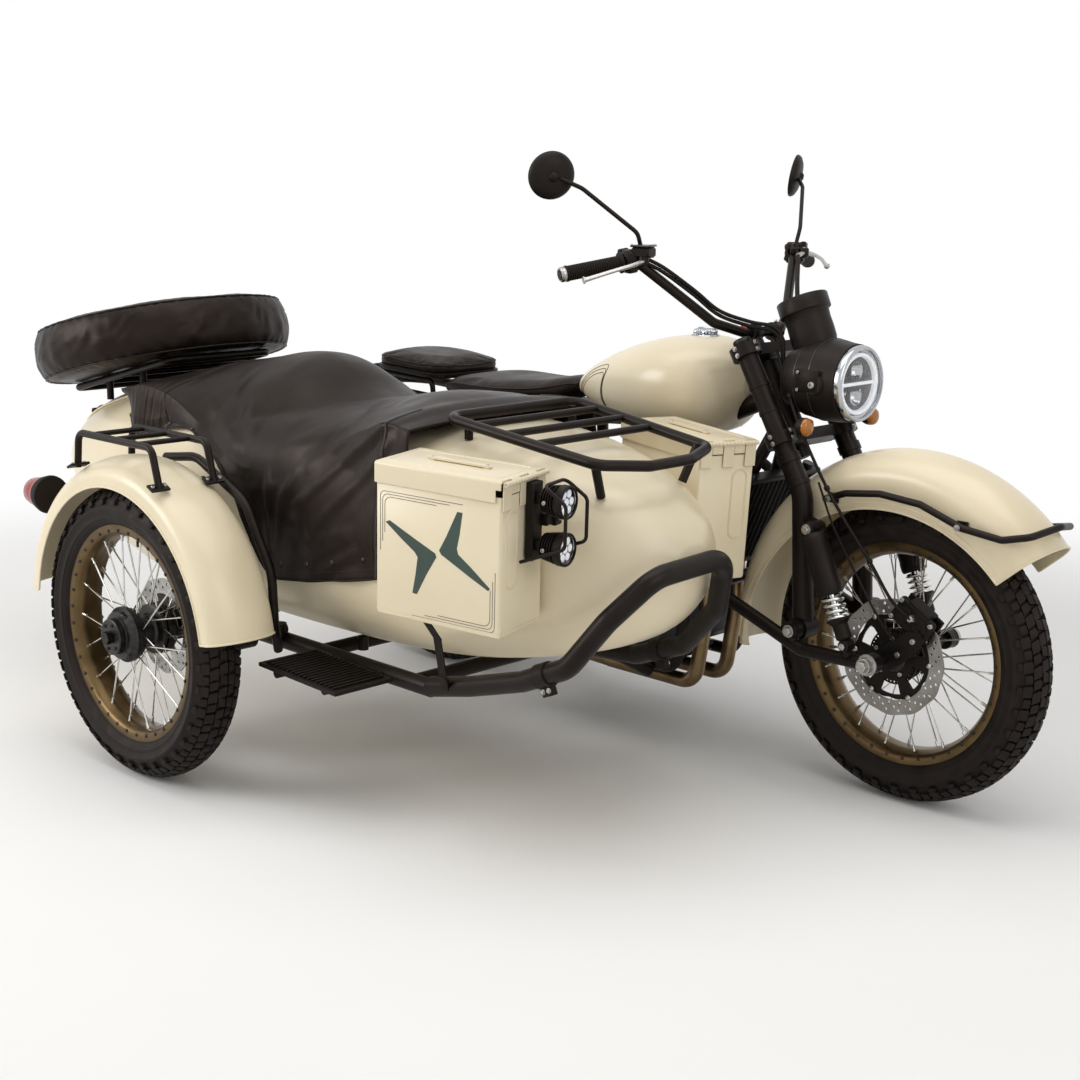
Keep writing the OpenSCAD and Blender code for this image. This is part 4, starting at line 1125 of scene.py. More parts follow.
def tray(shape, place, x0, x1, y0, y1, z0, z1, wall, fold, finish):  # folded sheet tray, open at z1
    cx, cy = (x0 + x1) / 2, (y0 + y1) / 2
    s = 1 if z0 < z1 else -1

    def ringAt(inset, z, r):
        return [place @ Vector((cx + x, cy + y, z)) for x, y in roundRect(x1 - x0 - 2 * inset,
            y1 - y0 - 2 * inset, max(0.0015, r), 6)]
    rows = [ringAt(fold, z0, fold * 0.4), ringAt(fold * 0.45, z0 + s * fold * 0.12, fold * 0.7),
        ringAt(fold * 0.12, z0 + s * fold * 0.45, fold * 0.9), ringAt(0, z0 + s * fold, fold),
        ringAt(0, z1 - s * 0.0006, fold), ringAt(0.0006, z1, fold), ringAt(wall, z1, fold - wall),
        ringAt(wall, z0 + s * (fold + 0.001), fold - wall), ringAt(fold * 1.2, z0 + s * wall, fold * 0.3)]
    grid(shape, rows, finish, around=True, ends=True)


def facePlace(side):  # on a box's outward face: X forward, Y up, Z out of the face
    return boxPlace(side) @ Matrix(((1, 0, 0, 0), (0, 0, -1, 0), (0, 1, 0, 0), (0, 0, 0, 1)))


def makeBox(side, name, node, lidNode, lidBody):
    place = boxPlace(side)
    length, depth, height = box["length"], box["depth"], box["height"]
    shape = Shape()
    tray(shape, place, -length, 0, 0, depth, 0, height - 0.024, box["sheet"], box["fold"], cream)
    # pressed stiffening rings on the front face and a folded seam along the bottom
    for ahead, trim, radius in ((0.0002, 0, 0.0011), (0.0001, 0.006, 0.0009)):
        path = [place @ Vector((ahead, 0.036 + x, 0.165 + y)) for x, y in roundRect(0.04 - trim,
            0.15 - trim, 0.0195 - trim / 2, 8)]
        tube(shape, path, radius, cream, 8, closed=True)
    seam = [place @ Vector((x - length / 2, y + depth / 2,
        0.0105)) for x, y in roundRect(length + 0.0006, depth + 0.0006, box["fold"], 6)]
    tube(shape, seam, 0.0007, cream, 6, closed=True)
    build(name, shape, "chassis", angle=50, replaces=[node])
    hinge = Shape()
    knuckle = depth / 15

    def knuckles(part, turn):  # every other three of the fifteen
        for i in range(15):
            if (i // 3) % 2 == turn:
                spun(part, place @ Vector((0.008, i * knuckle + 0.0004, height + 0.002)),
                    place.to_3x3() @ across, [(0.0026, 0), (0.0049, 0), (0.0049, knuckle - 0.0008),
                    (0.0026, knuckle - 0.0008)], cream, 18, closed=True)
    knuckles(hinge, 0)
    for i in (0, 2, 4):
        k = depth / 5
        block(hinge, place @ Matrix.Translation((0.003, (i + 0.5) * k, height - 0.024)),
            (0.0022, k - 0.001, 0.05), cream, 0.0005)
    tube(hinge, [place @ Vector((0.008, 0.0005, height + 0.002)),
        place @ Vector((0.008, depth - 0.0005, height + 0.002))], 0.0023, zinc, 12)
    build(name + "Hinge", hinge, "chassis")
    lid = Shape()
    tray(lid, place, -length - 0.004, 0.004, -0.004, depth + 0.004, height + 0.008, height - 0.034,
        box["sheet"], box["fold"] + 0.001, cream)
    top = newPiece(name + "Lid", newMesh(name + "Lid", lid))
    tools = [cutter(place, (-0.0006, -0.02, height - 0.06), (0.02, depth + 0.02, height + 0.0044)),
        cutter(place, (-0.012, -0.02, height - 0.06), (0.0, depth + 0.02, height - 0.0095))]
    for i in (0, 2, 4):
        tools.append(cutter(place, (-0.001, i * depth / 5 - 0.0006, height - 0.004),
            (0.02, (i + 1) * depth / 5 + 0.0006, height + 0.016)))
    carved(top, tools)
    painted(top.data, cream)
    smoothed(top.data, 40)
    settle(top, lidBody, [lidNode])
    fittings = Shape()
    knuckles(fittings, 1)
    for i in (1, 3):
        block(fittings, place @ Matrix.Translation((0.0022, (i + 0.5) * depth / 5, height - 0.0085)),
            (0.0018, depth / 5 - 0.002, 0.025), cream, 0.0004)
    bar = [(x - 0.1425, y + depth / 2) for x, y in roundRect(0.145, 0.0125, 0.0061, 6)]
    plate(fittings, place, bar, height + 0.0098, height + 0.0135, cream)
    for x in (-0.205, -0.08):
        block(fittings, place @ moved(x, depth / 2, height + 0.009), (0.012, 0.01, 0.004), cream, 0.0005)
    # pressed rib round the lid's top
    rib = [place @ Vector((x - length / 2, y + depth / 2, height + 0.0078))
        for x, y in roundRect(length - 0.03, depth - 0.03, 0.012, 6)]
    tube(fittings, rib, 0.0012, cream, 8, closed=True)
    build(name + "LidFittings", fittings, lidBody)
    bolts = []
    for x in (-0.205, -0.08):
        bolts.append((place @ Vector((x, depth / 2, height + 0.0134)), place.to_3x3() @ up, 3.6))
    screws(name + "LidScrews", bolts, lidBody, zinc, domeHead)
    latch = Shape()
    for y in (0.036, 0.108):
        block(latch, place @ moved(-length - 0.0035, y, height - 0.058), (0.004, 0.02, 0.04), zinc, 0.001)
    build(name + "Latches", latch, "chassis")
    # printed decoration on the outward face: two green blades and nested corner lines
    art = Shape()
    face = facePlace(side)

    def spot(u, v):
        return (-length + (u - 55) / 607 * length, height * (1 - (v - 150) / 895))
    for outline in ([(455, 345), (480, 345), (468, 470), (455, 560), (462, 592), (520, 650), (615, 755),
            (607, 770), (520, 712), (380, 612), (370, 590), (404, 500)],
            [(105, 480), (125, 468), (235, 540), (350, 612), (357, 633), (310, 745), (262, 878),
            (240, 875), (255, 760), (265, 655), (250, 628), (180, 560)]):
        plate(art, face, [spot(u, v) for u, v in outline], -0.0003, 0.0004, green)
    for i in range(3):
        d = 0.011 + 0.0052 * i
        r = 0.01 + 0.002 * i
        high = height - 0.038
        path = bent([(-length + d, high - 0.128 + 0.018 * i, 0), (-length + d, high - d, 0),
            (-0.085 - 0.03 * i, high - d, 0)], r, step=15)
        tube(art, [face @ (p + Vector((0, 0, 0.0001))) for p in path], 0.00055, pinstripe, 6)
        path = bent([(-0.2 + 0.03 * i, d, 0), (-d, d, 0), (-d, 0.128 - 0.018 * i, 0)], r, step=15)
        tube(art, [face @ (p + Vector((0, 0, 0.0001))) for p in path], 0.00055, pinstripe, 6)
    build(name + "Print", art, "chassis")
    holders = []
    for y in (0.03, 0.114):
        for z in (0.05, 0.22):
            holders.append((place @ Vector((-length + 0.02, depth - 0.0026, z)),
                place.to_3x3() @ Vector((0, -1, 0)), 5))
    screws(name + "Screws", holders, "chassis", zinc, domeHead)


makeBox(0, "outerBox", "outer_box", "outer_box_lid", "outer_lid")
makeBox(1, "innerBox", "inner_box", "inner_box_lid", "inner_lid")

# webbing strap from the outer box down to the rail
place = boxPlace(0)
strap = Shape()
run = [place @ Vector((-0.195, 0.03, 0.001)), outer(788, 176, 440), outer(770, 205, 360),
    outer(765, 216, 322)]
for i in range(len(run) - 1):
    a, b = run[i], run[i + 1]
    m = lookAt((a + b) / 2, b - a, (1, 0, 0))
    block(strap, m, (0.022, 0.003, (b - a).length + 0.002), rubber, 0.0006)
block(strap, lookAt((run[2] + run[3]) / 2, run[3] - run[2], (1, 0, 0)), (0.027, 0.009, 0.018), matBlack,
    0.002)
build("boxStrap", strap, "chassis")

# spot lamps on the outer box

spot = {"leds": 7, "radius": 0.032, "fins": 5}
lampBody = Shape()
lampGlass = Shape()
lampCore = Shape()
lampBolts = []
forwardAxis = place.to_3x3() @ Vector((1, 0, 0))
for z in (0.168, 0.258):
    centre = place @ Vector((0, 0.092, z))
    outline = [(0, 0.034), (0.016, 0.034), (0.018, 0.037)]
    for k in range(spot["fins"]):
        h = 0.038 + k * 0.0062
        r = 0.0258 + 0.0011 * k
        outline += [(r - 0.004, h), (r, h + 0.001), (r, h + 0.003), (r - 0.004, h + 0.004)]
    outline += [(0.03, 0.07), (0.0322, 0.073), (0.0322, 0.0865), (0.0306, 0.0885), (0.028, 0.0885),
        (0.0275, 0.08), (0, 0.078)]
    spun(lampBody, centre, forwardAxis, outline, matBlack, 40)
    spun(lampGlass, centre, forwardAxis, mm([(0, 82.5), (27.4, 82.2), (27.6, 84.5), (0, 85.5)]), lens, 40)
    spun(lampCore, centre, forwardAxis, mm([(0, 78.6), (27.2, 78.6), (27.2, 79.6), (0, 79.6)]), chrome, 40)
    for k in range(spot["leds"]):
        t = math.tau * k / (spot["leds"] - 1)
        offset = Vector((0, 0.0172 * math.cos(t), 0.0172 * math.sin(t))) if k else Vector((0, 0, 0))
        c = place @ (Vector((0.0796, 0.092, z)) + offset)
        # LED domes in frosted acrylic, with a painted glow (emission)
        spun(lampCore, c, forwardAxis, mm([(7.8, 0), (7.2, 1.6), (5, 2.8), (2.2, 3.2), (0, 3.3)]), paintedGlowAcrylic,
            16)
        spun(lampCore, c, forwardAxis, mm([(7.8, -0.2), (8.6, 0.8), (7.9, 1.2)]), chrome, 16)
    for s in (-1, 1):
        lampBolts.append((centre + place.to_3x3() @ Vector((0.052, 0.0285 * s, 0)),
            place.to_3x3() @ Vector((0, s, 0)), 4.2))
block(lampBody, place @ moved(0.012, 0.092, 0.213), (0.018, 0.034, 0.15), matBlack, 0.002)
block(lampBody, place @ moved(0.026, 0.092, 0.168), (0.024, 0.016, 0.02), matBlack, 0.002)
block(lampBody, place @ moved(0.026, 0.092, 0.258), (0.024, 0.016, 0.02), matBlack, 0.002)
block(lampBody, place @ moved(0.022, 0.128, 0.213), (0.02, 0.044, 0.024), matBlack, 0.0025)
block(lampBody, place @ moved(0.031, 0.14, 0.213), (0.014, 0.024, 0.03), matBlack, 0.0025)
lampBolts.append((place @ Vector((0.038, 0.14, 0.213)), forwardAxis, 5.0))
guardRun = bent([(8, 54, 140), (104, 54, 180), (104, 54, 262), (56, 54, 292), (56, 130, 292),
    (104, 130, 262), (104, 130, 180), (60, 130, 162), (8, 130, 146)], 14, step=12)
tube(lampBody, [place @ (p / 1000) for p in guardRun], 0.0035, satinBlack, 12)
build("spotLamps", lampBody, "chassis", replaces=["spot_lamps"])
build("spotGlass", lampGlass, "chassis")
build("spotOptics", lampCore, "chassis")
screws("spotBolts", lampBolts, "chassis", zinc, capHead)

# fenders, racks and rails of the sidecar


# arched sheet: crown radius r, half width w, height c of the crown's curve, from angle a0 over span;
# low(angle) gives the radius where the sides end
def fender(shape, axle, y, r, w, c, a0, span, low, thick=0.0026, count=90):
    rows = []
    for i in range(count + 1):
        a = a0 + span * i / count
        end = low(a)
        half = []
        straight = max(1.0, (r - c) - end)
        for k in range(7):
            half.append((end + straight * k / 7, w))
        for k in range(13):
            t = math.radians(90 * k / 12)
            half.append((r - c + c * math.sin(t), w * math.cos(t)))
        profile = half + [(q, -v) for q, v in reversed(half[:-1])]
        inside = []
        for k, (q, v) in enumerate(profile):
            p, n = profile[max(0, k - 1)], profile[min(len(profile) - 1, k + 1)]
            d = Vector((n[0] - p[0], n[1] - p[1])).normalized()
            inside.append((q + d.y * 1000 * thick, v - d.x * 1000 * thick))
        t = math.radians(a)
        rows.append([axle + Vector((q / 1000 * math.cos(t), (y + v) / 1000,
            q / 1000 * math.sin(t))) for q, v in profile + list(reversed(inside))])
    grid(shape, rows, cream, around=True, ends=True)
    n = len(rows[0]) // 2
    for line in ([row[0] for row in rows], [row[n - 1] for row in rows], rows[0][:n], rows[-1][:n]):
        tube(shape, line, 0.0026, cream, 8)


sideFender = Shape()
fender(sideFender, sideAxle, 18, 392, 84, 44, 8, 164, lambda a: 330)
build("sidecarFender", sideFender, "chassis", angle=50, replaces=["sidecar_fender"])
feet = Shape()
footBolts = []
for x, z in ((-148, 690), (172, 683)):
    for y in (-52, 84):
        radial = Vector((x, 0, z - 330)).normalized()
        spotAt = outer(x, y, z)
        block(feet, lookAt(spotAt, radial, across), (0.046, 0.024, 0.006), satinBlack, 0.0012)
        for s in (-0.015, 0.015):
            footBolts.append((spotAt + radial * 0.003 + across * s, radial, 4.2))
build("rackFeet", feet, "chassis")
screws("rackBolts", footBolts, "chassis", zinc, capHead)

# sidecar tail lamp: black boot, red cone lens with a rounded end
tail = Shape()
away = Vector((-1, 0, 0))
centre = outer(-345, -14, 590)
spun(tail, centre, away, mm([(0, -4), (44, -4), (45, 4), (42, 12), (41, 20), (0, 20)]), rubber, 40)
build("sidecarLampBoot", tail, "chassis", replaces=["sidecar_lamp"])
glass = Shape()
spun(glass, centre, away, mm([(0, 19), (39.5, 19), (39, 26), (37.2, 30), (36.8, 34), (35.5, 44),
    (34, 56), (32.5, 60), (31, 70), (26, 79), (15, 83), (0, 84)]), redLens, 48)
build("sidecarLampLens", glass, "chassis")

# bumper clamp, its bolts, and the joints where the rails are bolted together
clamps = Shape()
clampBolts = []
for a, b, r in ((outer(1040, 624, 392), outer(880, 662, 330), 0.0245),
        (outer(970, 232, 380), outer(1090, 232, 432), 0.0245)):
    m = a.lerp(b, 0.5)
    d = (b - a).normalized()
    spun(clamps, m - d * 0.017, d, [(0.0211, 0), (r, 0.001), (r, 0.033), (0.0211, 0.034)], matBlack, 32,
        closed=True)
    side = frameOf(d)[0]
    block(clamps, lookAt(m - side * 0.03, d, side), (0.022, 0.016, 0.03), matBlack, 0.002)
    for s in (-0.008, 0.008):
        clampBolts.append((m - side * 0.03 + d * s + frameOf(d)[1] * 0.008, frameOf(d)[1], 4.2))
for x, y, z in ((-330, 240, 304), (-330, 700, 304)):
    spun(clamps, outer(x, y, z), (-1, 0, 0), mm([(19, -4), (20.5, -3), (20.5, 3), (16, 6), (0, 7)]),
        rubber, 28)
build("railClamps", clamps, "chassis")
for a, b in (((196, 92.5, 330), (0, -1, 0)), ((-30, 171.5, 640), (0, -1, 0))):
    clampBolts.append((outer(*a), b, 9.0))
screws("railBolts", clampBolts, "chassis", zinc, hexHead)

# step plate: raised rubber grip bars across it
mat = Shape()
stepPlace = Matrix.Translation(outer(350, 62, 312)) @ turned(2, "Y")
block(mat, stepPlace @ moved(0.018, 0.075, 0.0105), (0.006, 0.132, 0.004), rubber, 0.0012)
grow("stepRibs", newMesh("stepRib", mat), rowCopies, {"Count": 17,
    "Step": stepPlace.to_3x3() @ Vector((0.0138, 0, 0))}, rubber, "chassis")
print("boxes, lamps and sidecar fender ready")

# covered spare wheel

spare = {"radius": 0.325, "height": 0.14, "tilt": 14, "wrinkles": 26}
sparePlace = Matrix.Translation(car(-630, 0, 822)) @ turned(-spare["tilt"], "Y")


def sparePoint(angle, r, z):
    t = math.radians(angle)
    return sparePlace @ Vector((r * math.cos(t), r * math.sin(t), z))


def spareProfile():
    flat = [(0.0, 0.002), (0.09, 0.002), (0.18, 0.002), (0.24, 0.002), (0.275, 0.004), (0.292, 0.01)]
    side = []
    for k in range(15):
        t = math.radians(-72 + 144 * k / 14)
        side.append((0.296 + 0.029 * math.cos(t) ** 0.8, 0.07 + 0.06 * math.sin(t)
            / math.sin(math.radians(72))))
    top = [(0.29, 0.1355), (0.272, 0.14), (0.24, 0.142), (0.19, 0.1405), (0.13, 0.1375), (0.06, 0.136),
        (0.0, 0.136)]
    return flat + side + top


puffy = Shape()
profile = spareProfile()
segments = 288
rows = []
for r, z in profile:
    row = []
    for k in range(segments):
        a = 360 * k / segments
        t = math.radians(a)
        band = bell(z, 0.07, 0.045) if r > 0.25 else 0.0
        rim = bell(z, 0.134, 0.012) * (1 if r > 0.18 else 0) + bell(z, 0.006,
            0.012) * (1 if r > 0.26 else 0)
        q = Vector((math.cos(t) * 5, math.sin(t) * 5, z * 18))
        push = band * (0.0035 * math.sin(t * spare["wrinkles"] + 5
            * math.sin(z * 40 + 2 * noise.noise(q))) * (0.5 + 0.5 * noise.noise(q * 0.8 + Vector((4, 0,
            0)))) + 0.0035 * noise.noise(q * 1.7))
        push += rim * 0.0022 * math.sin(t * 58 + 3 * noise.noise(q * 2))
        lift = 0.0035 * noise.noise(Vector((r * math.cos(t) * 9, r * math.sin(t) * 9,
            2.0))) if z > 0.13 else 0
        row.append((a, r + (push if r > 0.05 else 0), z + lift))
    rows.append(row)
skinRows = [[sparePoint(a, max(r, 0.0005), z) for a, r, z in row] for row in rows]
grid(puffy, skinRows, vinyl, around=True, ends=True)
spareCover = build("spareCover", puffy, "trunk", angle=180, replaces=["spare_wheel"])
cords = Shape()
for k in (6, 20):
    line = [sparePoint(a, r + 0.0008, z) for a, r, z in rows[k]]
    tube(cords, line[::2], 0.0027, vinyl, 8, closed=True)
build("spareSeams", cords, "trunk")
print("spare wheel cover ready")


# front end

rake = math.radians(30)
steerAxis = Vector((-math.sin(rake), 0, math.cos(rake)))
steerAhead = Vector((math.cos(rake), 0, math.sin(rake)))


def stem(t, f, y):  # t up the steering axis, f ahead of it, y aside, in mm
    return bike(943, 0, 748.5) + (steerAxis * t + steerAhead * f + Vector((0, y, 0))) / 1000


def frontLow(a):  # where the front fender's sides end
    t = math.radians(a)
    k = 20 * math.cos(t) + 50 * math.sin(t)
    return max(312.0, -k + math.sqrt(k * k + 368 ** 2 - 2900))


frontFender = Shape()
fender(frontFender, frontAxle, 0, 440, 84, 66, 40, 147, frontLow, count=110)
for y in (-0.0841, 0.0841):
    line = []
    for i in range(2, 109):
        a = math.radians(40 + 147 * i / 110)
        q = frontLow(math.degrees(a)) + 13
        line.append(frontAxle + Vector((q / 1000 * math.cos(a), y, q / 1000 * math.sin(a))))
    tube(frontFender, line, 0.0012, cream, 6)
build("frontFender", frontFender, "steering", angle=50, replaces=["front_fender"])

clampBolts, smallParts = [], Shape()
for side in (-1, 1):
    for t in (-9, 7, 201, 217):
        clampBolts.append((stem(t, 78, 112 * side), steerAhead, 4.6))
        clampBolts.append((stem(t, 45, 146 * side), (0, side, 0), 4.2))
    spun(smallParts, stem(232, 45, 112 * side), steerAxis,
        mm([(0, -2), (20.5, -2), (20.5, 3), (18, 6), (10, 6), (9, 3), (0, 3)]), darkAlloy, 36)
    # clamp collars and seal boots on the fork legs
    for t, r, h in ((-58, 0.0262, 0.02), (-112, 0.0255, 0.012), (60, 0.0245, 0.01), (120, 0.0245, 0.01)):
        spun(smallParts, stem(t, 45, 112 * side), steerAxis,
            [(0.0225, 0), (r, 0.001), (r, h - 0.001), (0.0225, h)], satinBlack, 36, closed=True)
    for x, z in ((1110, 656), (1427, 642)):
        p = bike(x, 91 * side, z)
        block(smallParts, Matrix.Translation(p - Vector((0, 0.004 * side, 0))), (0.026, 0.004, 0.022),
            satinBlack, 0.001)
        clampBolts.append((bike(x, 109 * side, z), (0, side, 0), 5.2))
    clampBolts.append((bike(1064, 168 * side, 365), (0, side, 0), 10.5))
    clampBolts.append((bike(1106, 176 * side, 598), (0, side, 0), 8.5))
    clampBolts.append((bike(1211, 172.5 * side, 362), (0, side, 0), 8.0))
    clampBolts.append((bike(1265, 174.5 * side, 330), (0, side, 0), 13.0))
    spun(smallParts, bike(1265, 159 * side, 330), (0, side, 0),
        mm([(15.5, 0), (23.5, 0), (23.5, 3), (17.5, 4), (17.5, 15.5), (15.5, 16.5)]), zinc, 40,
        closed=True)
    spun(smallParts, bike(1064, 146 * side, 365), (0, side, 0),
        mm([(18, -14), (20.5, -12), (20.5, 10), (17, 20), (12, 21.5), (0, 21.5)]), satinBlack, 36)
spun(smallParts, stem(222, 0, 0), steerAxis, mm([(0, -1), (23, -1), (23, 4), (19, 5.5), (17.5, 14.5),
    (15, 17), (0, 17.5)]), chrome, 6)
build("forkFittings", smallParts, "steering")
screws("forkBolts", clampBolts, "steering", zinc, hexHead)

# front dampers: dust tube, a few bright coil turns, lower body
damper = {"wire": 0.0035, "coil": 0.0215, "turns": 4.2}
dampers = Shape()
for side in (-1, 1):
    a, b = bike(1106, 160 * side, 598), bike(1211, 160 * side, 362)
    d = (b - a).normalized()
    length = (b - a).length
    spun(dampers, a, d, mm([(0, 10), (20, 10), (24.5, 14), (28.5, 22), (29.2, 32), (28, 36), (28, 120),
        (29.2, 124), (29.2, 140), (27, 146), (24, 147), (24, 120), (0, 120)]), matBlack, 40)
    spun(dampers, a, d, mm([(0, 118), (10, 118), (10, 210), (0, 210)]), chrome, 24)
    spun(dampers, a, d, [(0, 0.199), (0.0262, 0.199), (0.0262, 0.203), (0.0225, 0.206), (0.017, 0.212),
        (0.017, length - 0.016), (0.012, length - 0.012), (0, length - 0.012)], matBlack, 36)
    for p, r in ((a, 0.015), (b, 0.013)):
        spun(dampers, p - across * 0.015, across, [(0, 0), (r - 0.002, 0), (r, 0.002), (r, 0.028),
            (r - 0.002, 0.03), (0, 0.03)], matBlack, 28)
        spun(dampers, p - across * 0.0155, across, mm([(0, 0), (9, 0), (9, 31), (0, 31)]), rubber, 24)
    grow("frontSpring" + ("Right" if side < 0 else "Left"), bpy.data.meshes.new("coilSeed"), springCoil,
        {"Turns": damper["turns"], "Radius": damper["coil"], "Height": 0.054, "Wire": damper["wire"]},
        spokeSteel, "steering", place=lookAt(a + d * 0.1465, d))
build("frontDampers", dampers, "steering", replaces=["front_shocks"])

# headlamp nacelle: moulded shell with a seam, a side boss and its bolt
shellWidth = [(955, 84), (985, 90), (1030, 90), (1070, 87), (1092, 85)]
shellLow = [(955, 826), (985, 815), (1030, 806), (1070, 806), (1092, 808)]
shellTop = [(955, 962), (985, 975), (1030, 985), (1070, 980), (1092, 978)]
shellWall, shellRing = 3, 88
nacelle = Shape()
outside, within = [], []


def shellPower(x):  # square-ish at the back, round at the glass
    return 2.5 - 0.5 * (x - 955) / 137


for i in range(7):  # rounded back
    t = math.radians(12 + 78 * i / 6)
    w, low, top = 84 * math.sin(t) ** 0.6, 894 - 68 * math.sin(t) ** 0.6, 894 + 68 * math.sin(t) ** 0.6
    outside.append([bike(*p) for p in oval(955 - 14 * math.cos(t), w, low, top, 2.5, shellRing)])
for x in list(range(962, 1092, 8)) + [1092]:
    w, low, top = ease(x, shellWidth), ease(x, shellLow), ease(x, shellTop)
    p = shellPower(x)
    outside.append([bike(*q) for q in oval(x, w, low, top, p, shellRing)])
    if x > 1000:
        within.append([bike(*q) for q in oval(x, w - shellWall, low + shellWall, top - shellWall, p,
            shellRing)])
grid(nacelle, outside + list(reversed(within)), moulded, around=True, ends=True)
for x, r in ((1030, 0.0011), (992, 0.0008)):
    ringLine = [bike(*q) for q in oval(x, ease(x, shellWidth) + 0.2, ease(x, shellLow) - 0.2,
        ease(x, shellTop) + 0.2, shellPower(x), shellRing)]
    tube(nacelle, ringLine, r, glossBlack, 6, closed=True)
boltRows = []
for side in (-1, 1):
    spun(nacelle, bike(1046, 80 * side, 893), (0, side, 0),
        mm([(0, 0), (24, 0), (22.5, 11), (20, 14.5), (0, 14.5)]), moulded, 36)
    boltRows.append((bike(1046, 94.4 * side, 893), (0, side, 0), 7.5))
    block(nacelle, Matrix.Translation(bike(1030, 92 * side, 900)), (0.06, 0.006, 0.05), matBlack, 0.002)
    for x, z in ((1008, 918), (1008, 880)):
        boltRows.append((bike(x, 95 * side, z), (0, side, 0), 3.6))
build("lampNacelle", nacelle, "steering", angle=50, replaces=["lamp_shell"])
screws("nacelleBolts", boltRows, "steering", zinc, capHead)

# headlamp: chrome ring, clear glass, light guide ring, centre bar and two reflectors
lampAt = bike(1101, 0, 893)
ahead = Vector((1, 0, 0))
bezel = Shape()
spun(bezel, lampAt, ahead, mm([(0, -60), (60, -60), (80, -8), (80, -2), (0, -55)]), glossBlack, 64)
spun(bezel, lampAt, ahead, mm([(79.5, -10), (82.5, -9), (83.2, -3), (83.2, 2), (81.5, 6.5), (78, 9),
    (74.5, 8.5), (73.5, 5), (75.5, -4)]), chrome, 96, closed=True)
build("lampBezel", bezel, "steering", angle=45, replaces=["headlamp"])
bowl = Shape()
spun(bowl, lampAt, ahead, mm([(75.2, -1), (70, -3), (68.5, -8), (60, -20), (46, -30), (26, -37),
    (0, -39)]), chrome, 72)
for s in (-1, 1):  # upper and lower projector bowls beside the bar
    c = lampAt + Vector((-0.022, 0, 0.027 * s))
    spun(bowl, c, ahead, mm([(23.5, 14), (21.5, 10), (16.5, 0), (9, -6), (0, -8)]), chrome, 40)
    spun(bowl, c, ahead, mm([(24.5, 10), (25.2, 14.5), (23.8, 15.5), (22.8, 12.5)]), glossBlack, 40,
        closed=True)
build("lampReflectors", bowl, "steering")
# the light guide ring and its bar carry a painted glow (emission), though the headlamp is not lit
lightRing = Shape()
spun(lightRing, lampAt, ahead, mm([(57.5, -8.5), (58.5, -1), (61, 1.2), (65.5, 1.2), (67.2, -1.2),
    (66.5, -8.5)]), paintedGlowAcrylic, 90, closed=True)
block(lightRing, Matrix.Translation(lampAt + Vector((-0.006, 0, 0))), (0.008, 0.112, 0.007), paintedGlowAcrylic, 0.0015)
build("lampLightRing", lightRing, "steering")
frameBar = Shape()
block(frameBar, Matrix.Translation(lampAt + Vector((-0.0105, 0, 0))), (0.009, 0.116, 0.016), glossBlack,
    0.002)
for y in range(-48, 49, 12):
    block(frameBar, Matrix.Translation(lampAt + Vector((-0.014, y / 1000, 0.0))), (0.01, 0.0022, 0.034),
        glossBlack, 0.0004)
build("lampCentreBar", frameBar, "steering")
glass = Shape()
front = [(0, 0.0128)] + [(0.0742 * k / 10, 0.004 + 0.0088 * math.cos(math.radians(88 * k / 10)))
    for k in range(1, 11)]
spun(glass, lampAt, ahead, [(r, h) for r, h in front] + [(0.0738, 0.002)] + [(r * 0.985,
    h - 0.0022) for r, h in reversed(front)], lens, 72)
build("lampGlass", glass, "steering")

# round instrument in a cup
dialTilt = Matrix.Translation(bike(975, 0, 985)) @ turned(-24, "Y")
dialUp = dialTilt.to_3x3() @ up
cup = Shape()
spun(cup, dialTilt.translation, dialUp, mm([(0, -30), (46, -30), (50, -12), (50.5, 10), (49.5, 34),
    (50.5, 50), (54.5, 56), (56, 60), (56, 84), (54.5, 88), (51, 88), (50, 80), (0, 79)]), moulded, 64)
spun(cup, dialTilt.translation, dialUp, mm([(55.6, 54), (57.6, 56), (57.6, 86), (55.6, 88.5)]),
    satinBlack, 64, closed=True)
build("gaugeCup", cup, "steering", angle=40, replaces=["gauge_pod"])
dial = Shape()
for k in range(28):
    t = math.radians(-135 + 270 * k / 27)
    long = k % 3 == 0
    m = dialTilt @ Matrix.Rotation(t, 4, "Z") @ Matrix.Translation((-0.041 - (0 if long else 0.0015), 0,
        0.0798))
    block(dial, m, (0.009 if long else 0.005, 0.0013 if long else 0.0008, 0.0006), dialInk)
block(dial, dialTilt @ turned(-120, "Z") @ moved(-0.018, 0, 0.0815), (0.04, 0.0016, 0.0008), redKnob,
    0.0002)
spun(dial, dialTilt @ Vector((0, 0, 0.0795)), dialUp, mm([(0, 0), (7, 0), (6.5, 3), (0, 3.5)]),
    glossBlack, 24)
build("gaugeDial", dial, "steering")
gaugeCover = Shape()
spun(gaugeCover, dialTilt.translation, dialUp, mm([(0, 85.5), (50.6, 85), (50.6, 86.5), (0, 87.5)]),
    lens, 56)
build("gaugeGlass", gaugeCover, "steering")

# bar clamps on the risers
clamps = Shape()
bolts = []
for side in (-1, 1):
    p = bike(838, 38 * side, 985)
    spun(clamps, p - across * 0.015, across, mm([(11.2, 0), (19, 0), (20.5, 2), (20.5, 28), (19, 30),
        (11.2, 30)]), satinBlack, 36, closed=True)
    spun(clamps, stem(213, 27, 38 * side), steerAxis, mm([(0, 0), (20, 0), (20, 6), (16.5, 12),
        (15.5, 30), (0, 30)]), satinBlack, 32)
    for f in (-15, 15):
        bolts.append((p + steerAhead * f / 1000 + steerAxis * 0.0165, steerAxis, 4.0))
    spun(clamps, bike(838, 64 * side, 985) + steerAxis * 0.014, steerAxis,
        mm([(0, -12), (7.5, -12), (7.5, 2), (6, 6), (0, 6.8)]), redKnob, 20)
build("barClamps", clamps, "steering")
screws("barClampBolts", bolts, "steering", zinc, capHead)

